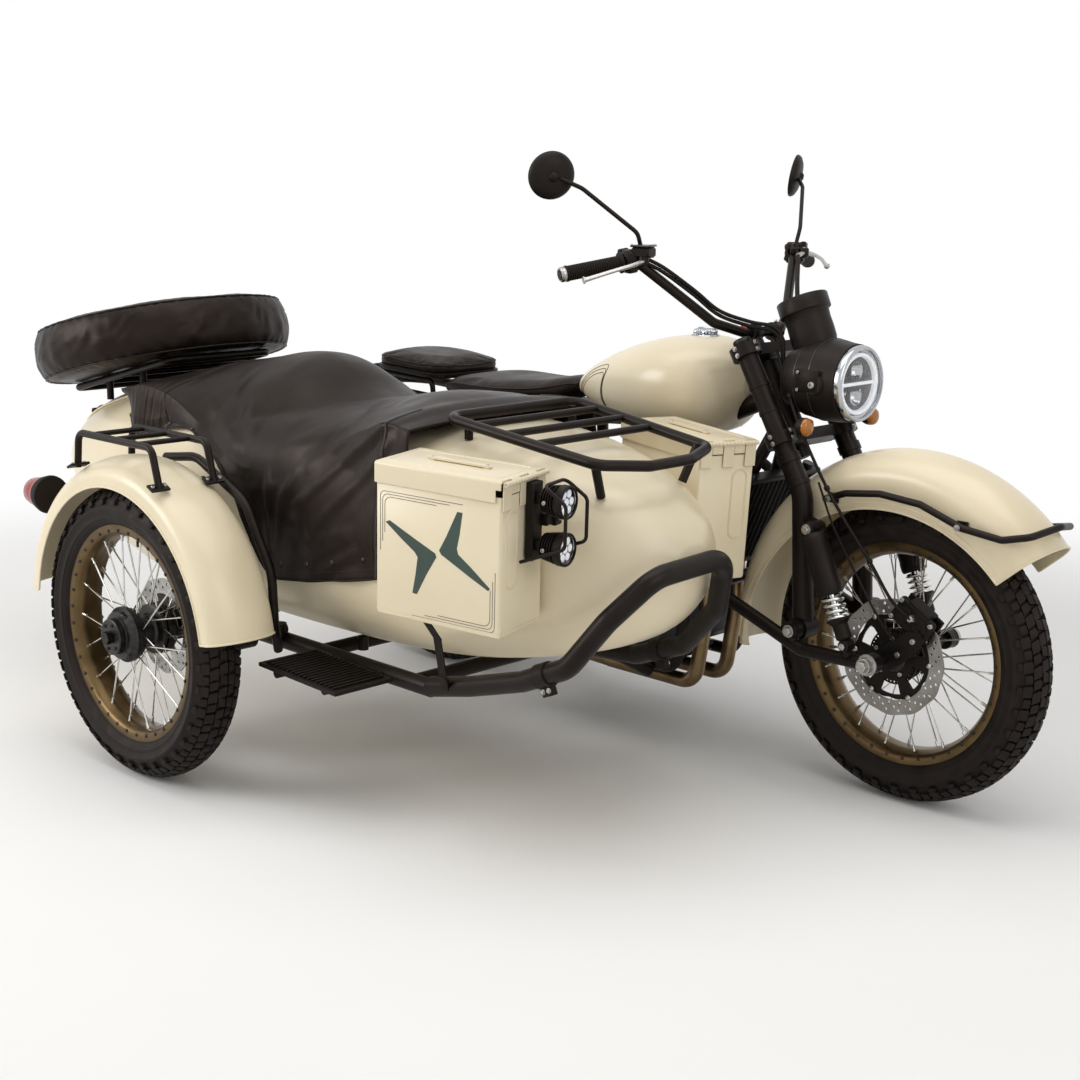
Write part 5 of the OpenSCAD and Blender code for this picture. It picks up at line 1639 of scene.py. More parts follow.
# grips, switch housings, levers and reservoirs
control = {"gripRibs": 22, "gripRadius": 0.0166, "leverWidth": 0.0052}
grips, housings, levers, buttons = Shape(), Shape(), Shape(), Shape()
gripRows = []
for side in (-1, 1):
    def hand(x, y, z):
        return bike(688 + x, (311 + y) * side, 1143 + z)
    g = (Vector((-72, 160 * side, -30))).normalized()
    start = hand(0, 0, 0)
    outline = [(0.0112, 0.003), (0.0225, 0.003), (0.023, 0.006), (0.019, 0.008)]
    for k in range(control["gripRibs"]):
        h = 0.01 + k * 0.0054
        outline += [(0.015, h), (control["gripRadius"], h + 0.001), (control["gripRadius"], h + 0.0036),
            (0.015, h + 0.0046)]
    outline += [(0.0176, 0.1295), (0.0178, 0.1335), (0.0112, 0.1345)]
    spun(grips, start, g, outline, rubber, 32, closed=True)
    spun(grips, start, g, mm([(0, 133.5), (15, 133.5), (16.5, 137), (16.5, 144), (14, 147.5),
        (0, 148)]), zinc, 32)
    m = lookAt(start - g * 0.016, g, up)
    block(housings, m, (0.05, 0.046, 0.03), moulded, 0.007)
    block(housings, m @ moved(0.016, 0.02, 0.002), (0.022, 0.014, 0.024), moulded, 0.003)
    spun(housings, start - g * 0.046, g, mm([(11.2, 0), (18, 1), (18, 17), (11.2, 18)]), satinBlack, 28,
        closed=True)
    face = m.to_3x3() @ Vector((0, -side, 0))
    for k, (tone, radius) in enumerate(((redKnob if side < 0 else glossBlack, 0.0066),
            (dialInk, 0.0042), (glossBlack, 0.0048))):
        c = m @ Vector((0.014 - 0.014 * k, -0.0225 * side, 0.002))
        spun(buttons, c, face, [(0, -0.003), (radius, -0.003), (radius, 0.0022),
            (radius - 0.001, 0.0034), (0, 0.0036)], tone, 20)
    # perch and lever: a round rod, thinnest in the middle, that widens to a ball end
    pivot = hand(40, -24, 5)
    block(housings, lookAt((start - g * 0.03 + pivot) / 2, pivot - start + g * 0.03, up),
        (0.024, 0.02, 0.046), satinBlack, 0.003)
    spun(housings, pivot - up * 0.01, up, mm([(0, 0), (11, 0), (12, 2), (12, 18), (11, 20), (0, 20)]),
        satinBlack, 24)
    gripRows.append((pivot + up * 0.01, up, 5.0))
    run = smoothPath([hand(42, -22, 4), hand(46, -4, 2), hand(45, 20, -4), hand(32, 60, -14),
        hand(16, 92, -24), hand(6, 116, -31), hand(2, 124, -33)], 5)
    n = len(run)
    radii = [0.0062 - 0.0016 * math.sin(math.pi * i / (n - 1)) + (0.0022 if i > n - 4 else 0)
        for i in range(n)]
    tube(levers, run, radii, alloy, 12)
    # fluid reservoir on the brake side, cable adjuster on the clutch side
    if side < 0:
        c = hand(30, -34, 22)
        block(housings, Matrix.Translation(c) @ turned(20, "Z"), (0.042, 0.05, 0.024), matBlack, 0.005)
        block(housings, Matrix.Translation(c + up * 0.014) @ turned(20, "Z"), (0.044, 0.052, 0.005),
            glossBlack, 0.002)
        for x, y in ((-0.016, -0.02), (0.016, 0.02)):
            gripRows.append((c + Vector((x, y, 0.0166)), up, 2.6))
    else:
        tube(housings, [hand(44, -34, 4), hand(48, -58, 0)], 0.0055, zinc, 16)
    spun(housings, hand(24, -39, 8), up, mm([(0, 0), (8, 0), (9, 12), (7.5, 18), (0, 18)]), satinBlack, 20)
build("barGrips", grips, "steering", replaces=["hand_controls"])
build("switchHousings", housings, "steering")
build("switchButtons", buttons, "steering")
build("handLevers", levers, "steering")
screws("controlScrews", gripRows, "steering", zinc, domeHead)

# mirrors: bent stems, round housings with a rolled rim, silvered glass
mirrorShape, mirrorGlassShape = Shape(), Shape()
for side in (-1, 1):
    run = bent([(712, 272, 1158), (712, 290, 1206), (640, 390, 1300), (604, 420, 1320)], 30)
    path = [bike(p.x, p.y * side, p.z) for p in run]
    tube(mirrorShape, path, 0.0048, satinBlack, 14)
    spun(mirrorShape, path[0] - up * 0.012, up, mm([(0, 0), (11, 0), (12, 3), (12, 12), (8, 16),
        (0, 17)]), satinBlack, 20)
    back = Vector((-0.877, -0.447 * side, 0.174)).normalized()
    c = bike(591, 431 * side, 1325)
    spun(mirrorShape, c, back, mm([(0, -10), (20, -9.4), (36, -6.8), (47.5, -1), (51.5, 5), (52, 8.2),
        (50.8, 10), (49, 9.6), (48.8, 8), (0, 7.8)]), moulded, 56)
    spun(mirrorShape, c + back * -0.007, -back, mm([(0, -2), (12, -2), (11, 5), (7, 9), (0, 10)]),
        satinBlack, 24)
    spun(mirrorGlassShape, c, back, mm([(0, 7.9), (48.7, 7.9), (48.4, 9), (0, 9.4)]), mirrorGlass, 56)
build("mirrorHousings", mirrorShape, "steering", replaces=["mirrors"])
build("mirrorGlasses", mirrorGlassShape, "steering")

# turn signals: rubber stem, black bucket, ribbed amber lens
signals, signalLens = Shape(), Shape()
for side in (-1, 1):
    tube(signals, [bike(1046, 92 * side, 813), bike(1046, 108 * side, 809)], 0.0062, rubber, 16)
    c = bike(1032, 122 * side, 806)
    spun(signals, c, ahead, mm([(0, 0), (11, 0.5), (17, 5), (19.5, 12), (20, 22), (19, 22.5), (0, 21)]),
        moulded, 36)
    spun(signalLens, c, ahead, mm([(0, 20.5), (18.8, 21.5), (19.6, 23.2), (19, 27), (16.5, 31.5),
        (11, 34.5), (0, 35.8)]), amber, 36)
build("frontSignals", signals, "steering", replaces=["front_indicators"])
build("frontSignalLenses", signalLens, "steering")

# brake caliper: two halves over the disc, cylinder covers, bracket plate and hose
caliper = Shape()
calPlace = Matrix.Translation(bike(1322, -92, 424)) @ turned(-58, "Y") @ moved(-0.032, 0, -0.052)
calBolts = []
block(caliper, calPlace @ moved(0.033, 0.0076, 0.052), (0.06, 0.015, 0.098), matBlack, 0.005)
block(caliper, calPlace @ moved(0.033, 0.0362, 0.052), (0.06, 0.0075, 0.098), matBlack, 0.002)
block(caliper, calPlace @ moved(0.0622, 0.02, 0.052), (0.0105, 0.038, 0.06), matBlack, 0.003)
for z in (0.03, 0.074):
    c = calPlace @ Vector((0.032, 0.001, z))
    spun(caliper, c, calPlace.to_3x3() @ Vector((0, -1, 0)),
        mm([(0, -4), (19.5, -4), (19.5, 0), (17.5, 3.5), (10, 4), (9, 2.5), (0, 2.5)]), matBlack, 36)
for x, z in ((0.01, 0.01), (0.056, 0.01), (0.01, 0.094), (0.056, 0.094)):
    calBolts.append((calPlace @ Vector((x, 0.0004, z)), calPlace.to_3x3() @ Vector((0, -1, 0)), 5.4))
# bracket plate from the axle to the caliper
bracketOutline = [bike(1265 + x, 0, 330 + z) for x, z in ((-24, -8), (-14, -24), (8, -26), (30, -10),
    (60, 14), (86, 40), (92, 62), (80, 78), (52, 70), (22, 46), (-10, 26), (-24, 10))]
slab(caliper, bracketOutline, -0.0985, -0.0925, matBlack)
for x, z in ((34, 18), (70, 54)):
    calBolts.append((bike(1265 + x, -98.5, 330 + z), (0, -1, 0), 6.2))
hose = smoothPath([calPlace @ Vector((0.04, 0.002, 0.052)) + Vector((0, -0.012, 0)),
    bike(1290, -122, 470), bike(1240, -128, 540), bike(1170, -128, 620), bike(1100, -118, 700),
    stem(20, 92, -96), stem(120, 88, -76), stem(190, 84, -58)], 8)
tube(caliper, hose, 0.0036, rubber, 10)
spun(caliper, calPlace @ Vector((0.04, 0.001, 0.052)), calPlace.to_3x3() @ Vector((0, -1, 0)),
    mm([(0, 0), (9, 0), (9, 10), (6, 14), (0, 14)]), zinc, 6)
for k in (16, 30, 44):
    p, q = hose[k], hose[k + 1]
    spun(caliper, p, q - p, mm([(3.6, 0), (6.2, 1), (6.2, 9), (3.6, 10)]), matBlack, 16, closed=True)
sensor = smoothPath([bike(1290, -99, 372), bike(1262, -118, 420), bike(1210, -126, 500),
    bike(1140, -124, 600), bike(1088, -114, 690)], 8)
tube(caliper, sensor, 0.0024, rubber, 8)
build("brakeCaliper", caliper, "steering", replaces=["brake_caliper"])
screws("caliperBolts", calBolts, "steering", zinc, capHead)
print("front end ready")


# motorcycle: tank, seats, engine

tankWidth = [(300, 22), (325, 60), (400, 106), (520, 148), (640, 164), (730, 140), (778, 84), (808, 26)]
tankLow = [(300, 800), (400, 768), (530, 748), (735, 748), (778, 780), (808, 838)]
tankTop = [(300, 832), (355, 872), (460, 922), (560, 952), (650, 966), (725, 960), (778, 932), (808, 882)]
seatWidth = [(-150, 60), (-110, 118), (30, 146), (110, 142), (200, 108), (322, 60)]
seatLow = [(-150, 758), (-50, 752), (110, 752), (260, 768), (322, 790)]
seatTop = [(-150, 776), (-110, 802), (-20, 818), (100, 818), (200, 824), (290, 838), (322, 832)]


tankPower, seatPower = 2.25, 2.8  # how square the sections are


def tankSide(x, z):  # half width of the tank at a height
    w, low, top = ease(x, tankWidth), ease(x, tankLow), ease(x, tankTop)
    reach = min(0.999, abs(2 * (z - (low + top) / 2) / (top - low)))
    return w * (1 - reach ** tankPower) ** (1 / tankPower)


def seatRows(spread, count, floorZ=None):  # closed sections of the rider's seat, drawn out by some mm
    rows = []
    for x in [-150 - spread, -148, -143, -134, -122] + list(range(-110, 310, 12)) + [312, 318,
            322 + spread]:
        inside = min(max(x, -150), 322)
        w, low, top = ease(inside, seatWidth) + spread, ease(inside, seatLow) - spread, ease(inside,
            seatTop) + spread
        rows.append([bike(q[0], q[1], q[2] if floorZ is None else max(floorZ, q[2])) for q in oval(x, w,
            low, top, seatPower, count)])
    return rows


tank = Shape()
ends = [300, 301, 303, 306, 311, 318]
grid(tank, [[bike(*q) for q in oval(x, ease(x, tankWidth), ease(x, tankLow), ease(x, tankTop),
    tankPower, 112)] for x in ends + list(range(326, 776, 9)) + [780, 787, 793, 798, 802, 805, 807,
    808]], cream, around=True, ends=True)
tankBody = newPiece("fuelTank", newMesh("fuelTank", tank))
seatTool = Shape()
grid(seatTool, seatRows(1.5, 64), matBlack, around=True, ends=True)
seatCut = newPiece("cutter", newMesh("cutter", seatTool))
bikePlace = Matrix.Translation(bike(0, 0, 0))
carved(tankBody, [seatCut, cutter(bikePlace, (0.2, -0.036, 0.7), (0.69, 0.036, 0.8))])
smoothed(tankBody.data, 38)
settle(tankBody, "chassis", ["fuel_tank"])

pinLines = Shape()
outline = [(338, 786), (344, 812), (362, 840), (392, 862), (428, 878), (466, 888), (478, 886),
    (479, 876), (471, 848), (465, 812), (461, 784)]
for k in range(3):
    cx, cz, f = 424, 788, 1 - 0.095 * k
    line = smoothPath([Vector((cx + (x - cx) * f, cz + (z - cz) * f, 0)) for x, z in outline], 6)
    for side in (-1, 1):
        tube(pinLines, [bike(p.x, side * (tankSide(p.x, p.y) + 0.1), p.y) for p in line], 0.0009,
            pinstripe, 6)
for side in (-1, 1):  # rolled seam under the tank
    run = [bike(x, side * tankSide(x, ease(x, tankLow) + 7), ease(x, tankLow) + 7) for x in range(410,
        741, 10)]
    tube(pinLines, run, 0.0022, cream, 8)
build("tankLines", pinLines, "chassis")

cap = Shape()
capAt = bike(670, 0, 962.4)
spun(cap, capAt, up, mm([(0, 1), (33.5, 1), (34, 3), (32.5, 5.2), (30, 5.8), (0, 5.8)]), chrome, 72)
ripple = []
for k in range(144):
    t = math.tau * k / 144
    ripple.append((0.0268 + 0.0009 * math.cos(24 * t), t))
capRows = []
for s, h in ((1.0, 0.0056), (1.03, 0.0075), (1.03, 0.012), (0.97, 0.016), (0.8, 0.0185), (0.45, 0.0196),
        (0.02, 0.0198)):
    capRows.append([capAt + Vector((r * s * math.cos(t), r * s * math.sin(t), h)) for r, t in ripple])
grid(cap, capRows, chrome, around=True, ends=True)
block(cap, Matrix.Translation(capAt + Vector((0.006, 0, 0.02))) @ turned(25, "Z"), (0.04, 0.013, 0.004),
    chrome, 0.0015)
spun(cap, capAt + Vector((-0.01, -0.006, 0.0175)), up, mm([(0, 0), (6, 0), (6, 3.5), (5, 4.2),
    (0, 4.2)]), chrome, 24)
build("fuelCap", cap, "chassis", replaces=["fuel_cap"])

# padded seats: cloth blown up from inside over a held underside, then seams sewn on
padding = {"voxel": 0.0055, "pressure": 4.0, "frames": 20, "riderCap": 0.005, "pillionCap": 0.008}


def swelled(piece, cap, heldBelow):
    remesh = piece.modifiers.new("remesh", "REMESH")
    remesh.mode, remesh.voxel_size = "VOXEL", padding["voxel"]
    baked(piece)
    smooth = piece.modifiers.new("smooth", "SMOOTH")
    smooth.factor, smooth.iterations = 0.5, 3
    baked(piece)
    start = [v.co.copy() for v in piece.data.vertices]
    held = piece.vertex_groups.new(name="held")
    held.add([i for i, p in enumerate(start) if heldBelow(p)], 1.0, "REPLACE")
    cloth = piece.modifiers.new("cloth", "CLOTH")
    rules = cloth.settings
    rules.use_pressure, rules.uniform_pressure_force = True, padding["pressure"]
    rules.effector_weights.gravity = 0
    rules.vertex_group_mass = "held"
    rules.quality = 5
    cloth.point_cache.frame_start, cloth.point_cache.frame_end = 1, padding["frames"]
    for f in range(1, padding["frames"] + 1):
        bpy.context.scene.frame_set(f)
    baked(piece)
    bpy.context.scene.frame_set(1)
    for v, p in zip(piece.data.vertices, start):
        d = v.co - p
        v.co = p + d * min(1.0, cap / max(d.length, 1e-9))
    soft = piece.modifiers.new("soft", "SUBSURF")
    soft.levels = soft.render_levels = 1
    baked(piece)
    painted(piece.data, leather)
    piece.data.shade_smooth()


seat = Shape()
grid(seat, seatRows(-4.5, 90, 759), leather, around=True, ends=True)
riderSeat = newPiece("riderSeat", newMesh("riderSeat", seat))
swelled(riderSeat, padding["riderCap"], lambda p: p.z < 0.768)
settle(riderSeat, "chassis", ["saddle"])


def onSkin(piece, points, lift):  # the points laid on the piece's surface, raised by a lift
    bpy.context.view_layer.update()
    laid = []
    for p in points:
        spotHere, normal = piece.closest_point_on_mesh(p)[1:3]
        laid.append(spotHere + normal * lift)
    return laid


seatSeams = Shape()
for share, radius in ((0.46, 0.0022), (0.3, 0.0011)):
    line = []
    for side in (-1, 1):
        part = []
        for x in range(-142, 316, 8):
            w, low, top = ease(x, seatWidth), ease(x, seatLow), ease(x, seatTop)
            middle, reach = (low + top) / 2, (top - low) / 2
            z = middle + reach * share
            y = (w - 0.6) * (1 - abs((z - middle) / reach) ** seatPower) ** (1 / seatPower)
            part.append(bike(x, side * y, z))
        line += part if side < 0 else list(reversed(part))
    tube(seatSeams, onSkin(riderSeat, line, radius * 0.3), radius, leather, 8, closed=True)
baseRows = [[bike(q[0], q[1] * 0.98, min(763, max(756, q[2]))) for q in oval(x, ease(x, seatWidth), 752,
    772, 4, 60)] for x in range(-140, 300, 20)]
grid(seatSeams, baseRows, matBlack, around=True, ends=True)
build("riderSeatSeams", seatSeams, "chassis")

padHalf, padPower = (0.138, 0.124), 0.36
pillionPlace = bikePlace @ moved(-0.262, 0, 0.8) @ turned(2.4, "Y")


def pillionRing(k, z, count=120):  # square-ish ring, k of the pad's full size
    ring = []
    for i in range(count):
        t = math.tau * i / count
        c, s = math.cos(t), math.sin(t)
        ring.append(pillionPlace @ Vector((padHalf[0] * k * math.copysign(abs(c) ** padPower, c),
            padHalf[1] * k * math.copysign(abs(s) ** padPower, s), z)))
    return ring


pad = Shape()
grid(pad, [pillionRing(k, z) for k, z in ((0.6, 0.01), (0.9, 0.01), (0.945, 0.014), (0.955, 0.02),
    (0.955, 0.03), (0.945, 0.036), (0.91, 0.041), (0.82, 0.0435), (0.55, 0.045), (0.2, 0.0455))],
    leather, around=True, ends=True)
pillionPad = newPiece("pillionPad", newMesh("pillionPad", pad))
swelled(pillionPad, padding["pillionCap"], lambda p: p.z < 0.819 - 0.042 * (p.x - bike(-262, 0, 0).x))
settle(pillionPad, "chassis", ["pillion_seat"])
padSeams = Shape()
for k, z, radius, finish in ((1.0, 0.0385, 0.0021, leather), (0.96, 0.0465, 0.0007, threadDark),
        (0.92, 0.0485, 0.0007, threadDark)):
    tube(padSeams, onSkin(pillionPad, pillionRing(k, z, 160), radius * 0.3), radius, finish, 8,
        closed=True)
grid(padSeams, [pillionRing(k, z) for k, z in ((0.5, 0.001), (0.97, 0.001), (0.985, 0.004),
    (0.985, 0.012), (0.95, 0.014), (0.5, 0.014))], moulded, around=True, ends=True)
build("pillionSeams", padSeams, "chassis")
print("tank and seats ready")

# engine: crankcase, finned barrel, head, round covers with their screws
engine = Shape()
engineBolts = []
block(engine, Matrix.Translation(bike(500, 0, 311)), (0.33, 0.29, 0.18), casting, 0.016)
block(engine, Matrix.Translation(bike(486, 0, 232)), (0.25, 0.22, 0.03), casting, 0.008)
for k in range(5):
    block(engine, Matrix.Translation(bike(400 + 42 * k, 0, 219.5)), (0.006, 0.2, 0.006), casting)
lean = bikePlace @ moved(0.44, 0, 0.38) @ turned(12, "Y")
block(engine, lean @ moved(0.11, 0, 0.06), (0.19, 0.224, 0.12), casting, 0.006)
for k in range(8):
    block(engine, lean @ moved(0.11, 0, 0.018 + 0.0135 * k), (0.216, 0.256, 0.0034), casting, 0.001)
block(engine, lean @ moved(0.11, 0, 0.165), (0.206, 0.248, 0.078), casting, 0.01)
block(engine, lean @ moved(0.11, 0, 0.231), (0.186, 0.226, 0.052), matBlack, 0.014)
for side in (-1, 1):
    for x in (-60, 0, 60):
        engineBolts.append((lean @ Vector((0.11 + x / 1000, 0.098 * side, 0.2572)), lean.to_3x3() @ up,
            5.0))
    for x, z, r, deep, count in ((560, 310, 84, 34, 9), (410, 300, 66, 26, 7)):
        out = Vector((0, side, 0))
        wide, tall = r / 1000, deep / 1000
        spun(engine, bike(x, 144 * side, z), out, [(0, 0), (wide, 0), (wide, 0.012),
            (wide - 0.004, 0.014), (wide - 0.012, 0.0145), (wide - 0.02, tall - 0.004),
            (wide - 0.028, tall + 0.0045), (wide - 0.04, tall + 0.0055), (wide - 0.044, tall + 0.003),
            (0, tall + 0.003)], darkAlloy if side < 0 else casting, 72)
        for k in range(count):
            t = math.tau * (k + 0.5) / count
            engineBolts.append((bike(x + (r - 8) * math.cos(t), side * 158.4,
                z + (r - 8) * math.sin(t)), out, 3.6))
    for y in (-56, 56):
        block(engine, lean @ moved(0.2105, y / 1000, 0.15), (0.016, 0.056, 0.052), casting, 0.004)
    block(engine, Matrix.Translation(bike(360, 120 * side, 372)), (0.06, 0.036, 0.05), matBlack, 0.006)
spun(engine, bike(650, 60, 300), Vector((1, 0, 0)), mm([(0, 0), (36, 0), (36, 6), (34, 14), (26, 17.5),
    (0, 17.5)]), matBlack, 40)
build("engineCasing", engine, "chassis", angle=35, replaces=["engine_block"])
screws("engineScrews", engineBolts, "chassis", zinc, capHead)

# radiator: core of fins and flat tubes in a frame, with a neck at each side
cooler = {"fins": 74, "tubes": 15}
radiator = Shape()
core = bikePlace @ moved(0.784, 0, 0.463) @ turned(23.6, "Y")
for k in range(cooler["fins"]):
    z = 0.016 + 0.203 * k / (cooler["fins"] - 1)
    block(radiator, core @ moved(0.016, 0, z), (0.022, 0.262, 0.0006), matBlack)
for k in range(cooler["tubes"]):
    y = -0.124 + 0.248 * k / (cooler["tubes"] - 1)
    block(radiator, core @ moved(0.016, y, 0.1175), (0.024, 0.0034, 0.206), matBlack)
block(radiator, core @ moved(0.0155, 0, 0.1175), (0.002, 0.262, 0.204), matBlack)
for y in (-0.1405, 0.1405):
    block(radiator, core @ moved(0.016, y, 0.1175), (0.032, 0.019, 0.235), satinBlack, 0.004)
for z in (0.0065, 0.2285):
    block(radiator, core @ moved(0.016, 0, z), (0.032, 0.284, 0.013), satinBlack, 0.003)
for side in (-1, 1):
    spun(radiator, core @ Vector((0.016, 0.11 * side, 0.232)), core.to_3x3() @ up,
        mm([(0, 0), (13, 0), (13, 4), (14, 5), (14, 13), (12, 15), (0, 15)]), darkAlloy, 28)
build("radiatorCore", radiator, "chassis", replaces=["radiator"])
hoses = Shape()
for side in (-1, 1):
    tube(hoses, smoothPath([bike(786, 128 * side, 640), bike(742, 122 * side, 664),
        bike(690, 104 * side, 640), bike(640, 96 * side, 590)], 8), 0.0125, rubber, 16)
tube(hoses, smoothPath([bike(776, -128, 478), bike(740, -140, 440), bike(706, -146, 392),
    bike(664, -128, 352)], 8), 0.0125, rubber, 16)
build("coolantHoses", hoses, "chassis")

# exhaust: two heat-tinted header pipes into a long muffler on the left
pipes = Shape()
pipeBolts = []
for y in (-56, 56):
    tube(pipes, bent([bike(699, y, 520), bike(742, y, 500), bike(744, y, 330), bike(714, y, 146),
        bike(440, y, 146)], 0.046), 0.018, heatSteel, 24)
    spun(pipes, bike(699, y, 520), bike(742, y, 500) - bike(699, y, 520),
        mm([(18.2, -4), (29, -4), (31, 0), (31, 6), (24, 8), (18.2, 10)]), casting, 32, closed=True)
    for s in (-1, 1):
        pipeBolts.append((bike(712, y + 24 * s, 516), (0.9, 0, -0.42), 4.4))
tube(pipes, bent([bike(440, 56, 146), bike(330, 66, 146), bike(220, 150, 160), bike(120, 190, 210)],
    0.06), 0.02, heatSteel, 24)
tube(pipes, bent([bike(440, -56, 146), bike(330, -50, 146), bike(236, 120, 154)], 0.05), 0.017,
    heatSteel, 24)
a, b = bike(124, 190, 213), bike(-420, 206, 330)
d, length = (b - a).normalized(), (b - a).length
spun(pipes, a, d, [(0, 0), (0.0245, 0), (0.026, 0.006), (0.036, 0.03), (0.044, 0.048), (0.0465, 0.056),
    (0.0478, 0.06), (0.0478, 0.064), (0.047, 0.066), (0.047, length - 0.036), (0.048, length - 0.034),
    (0.048, length - 0.028), (0.046, length - 0.024), (0.04, length - 0.008), (0.031, length),
    (0, length)], heatSteel, 64)
tail = bike(-449.317, 206.862, 336.305)
spun(pipes, b, tail - b, [(0.0185, -0.01), (0.025, -0.01), (0.025, (tail - b).length - 0.0012),
    (0.0242, (tail - b).length), (0.0205, (tail - b).length), (0.019, (tail - b).length - 0.004)],
    heatSteel, 48, closed=True)
for f in (0.16, 0.8):
    c = a.lerp(b, f)
    spun(pipes, c, d, mm([(47, 0), (49.2, 1), (49.2, 19), (47, 20)]), matBlack, 48, closed=True)
    pipeBolts.append((c + d * 0.01 + up * 0.05, up, 5.0))
guard = []
for i in range(15):  # pressed heat guard over the muffler's outer side
    f = 0.2 + 0.5 * i / 14
    row = []
    for k in range(13):
        t = math.radians(-52 + 104 * k / 12)
        bulge = 0.0525 + 0.0022 * math.sin(math.pi * min(1, max(0, (i - 1) / 12)))
        side = across * math.cos(t) + up * math.sin(t)
        row.append(a.lerp(b, f) + side * bulge)
    inner = [p + (a.lerp(b, f) - p).normalized() * 0.0016 for p in reversed(row)]
    guard.append(row + inner)
grid(pipes, guard, matBlack, around=True, ends=True)
build("exhaustPipes", pipes, "chassis", angle=40, replaces=["exhaust_system"])
screws("exhaustBolts", pipeBolts, "chassis", zinc, hexHead)

# side covers: crowned panels with round corners and two screws each
coverBolts = []
panels = Shape()
for side in (-1, 1):
    corner = [(-105, 30), (-70, 140), (120, 150), (110, 20), (60, -80), (-10, -90)]
    ring = bent([(x, z, 0) for x, z in corner], 24, closed=True)
    cx, cz = sum(p.x for p in ring) / len(ring), sum(p.y for p in ring) / len(ring)
    rows = []
    for f, y in ((0.98, 126.5), (1.0, 128), (1.0, 131), (0.985, 134), (0.93, 136.5), (0.8, 138.4),
            (0.76, 137.4), (0.7, 137.6), (0.4, 139.6), (0.05, 139.9)):
        rows.append([bike(10 + cx + (p.x - cx) * f, y * side, 560 + cz + (p.y - cz) * f) for p in ring])
    grid(panels, rows, cream, around=True, ends=True)
    for x, z in ((-66, 116), (92, 122), (20, -66)):
        coverBolts.append((bike(10 + x, 136.2 * side, 560 + z), (0, side, 0), 4.0))
build("sideCovers", panels, "chassis", angle=40, replaces=["side_covers"])
screws("sideCoverScrews", coverBolts, "chassis", zinc, domeHead)

rearFender = Shape()
fender(rearFender, rearAxle, 0, 398, 80, 50, 12, 160, lambda a: 320, count=110)
spun(rearFender, bike(-180, 0, 712), up, mm([(0, 0), (16, 0), (16, 18.6), (0, 18.6)]), matBlack, 28)
build("rearFender", rearFender, "chassis", angle=50, replaces=["rear_fender"])

# tail lamp on its foot, and the two signals on a cross tube
lamps, redGlass, amberGlass = Shape(), Shape(), Shape()
tailAt = bike(-610.5, 0, 500)
spun(lamps, tailAt, away, mm([(0, 0), (30, 0), (33.5, 4), (33.8, 26), (32.5, 28), (0, 28)]), moulded, 48)
spun(redGlass, tailAt, away, mm([(0, 26), (32.2, 26), (33, 30), (31.8, 40), (26, 49), (14, 53),
    (0, 54)]), redLens, 48)
tube(lamps, [bike(-636, -96, 512), bike(-636, 96, 512)], 0.006, satinBlack, 16)
for side in (-1, 1):
    c = bike(-656, 104 * side, 512)
    spun(lamps, c + Vector((0.04, 0, 0)), away, mm([(0, 0), (10, 1), (16, 6), (18.5, 12), (19, 24),
        (0, 24)]), moulded, 36)
    spun(amberGlass, c + Vector((0.0165, 0, 0)), away, mm([(0, 0), (18.5, 0), (18.5, 4), (15.5, 10),
        (9, 15.5), (0, 16.3)]), amber, 36)
build("tailLampHousing", lamps, "chassis", replaces=["tail_lamp"])
build("tailLampLens", redGlass, "chassis")
build("rearSignalLenses", amberGlass, "chassis")

# rear and sidecar spring legs
legs = Shape()
legBolts = []
for name, a, b, r in (("Right", bike(-178, -134, 716), bike(-150, -134, 356), 0.025),
        ("Left", bike(-178, 134, 716), bike(-150, 134, 356), 0.025),
        ("Sidecar", outer(-30, 150, 640), outer(-10, 150, 372), 0.022)):
    d, length = (b - a).normalized(), (b - a).length
    spun(legs, a, d, [(0, 0.008), (0.012, 0.008), (0.014, 0.018), (r, 0.026), (r + 0.001, 0.04),
        (r + 0.001, 0.046), (0.014, 0.047), (0.014, length * 0.42), (0, length * 0.42)], matBlack, 40)
    spun(legs, a, d, [(0, length * 0.4), (0.0065, length * 0.4), (0.0065, length * 0.64),
        (0, length * 0.64)], chrome, 20)
    spun(legs, a, d, [(0, length * 0.6), (0.017, length * 0.6), (0.0175, length * 0.86),
        (r + 0.001, length * 0.865), (r + 0.001, length * 0.89), (0.016, length * 0.9),
        (0.012, length - 0.008), (0, length - 0.008)], matBlack, 40)
    for p in (a, b):
        spun(legs, p - across * 0.012, across, mm([(0, 0), (11, 0), (13, 2), (13, 22), (11, 24),
            (0, 24)]), satinBlack, 28)
        for s in (-1, 1):
            legBolts.append((p + across * 0.012 * s, across * s, 8.0))
    grow("spring" + name, bpy.data.meshes.new("coilSeed"), springCoil,
        {"Turns": 11.0, "Radius": r - 0.003, "Height": length * 0.865 - 0.047, "Wire": 0.0038},
        spokeSteel if name == "Sidecar" else zinc, "chassis",
        place=lookAt(a + d * 0.047, d))
build("springLegs", legs, "chassis", replaces=["shock_absorbers"])
legBolts += [(bike(-235, 132 * s, 330), (0, s, 0), 13.0) for s in (-1, 1)]
legBolts += [(bike(205, 122 * s, 330), (0, s, 0), 12.0) for s in (-1, 1)]
legBolts += [(bike(350, 118 * s, 194), (0, s, 0), 7.0) for s in (-1, 1)]
screws("pivotBolts", legBolts, "chassis", zinc, hexHead)

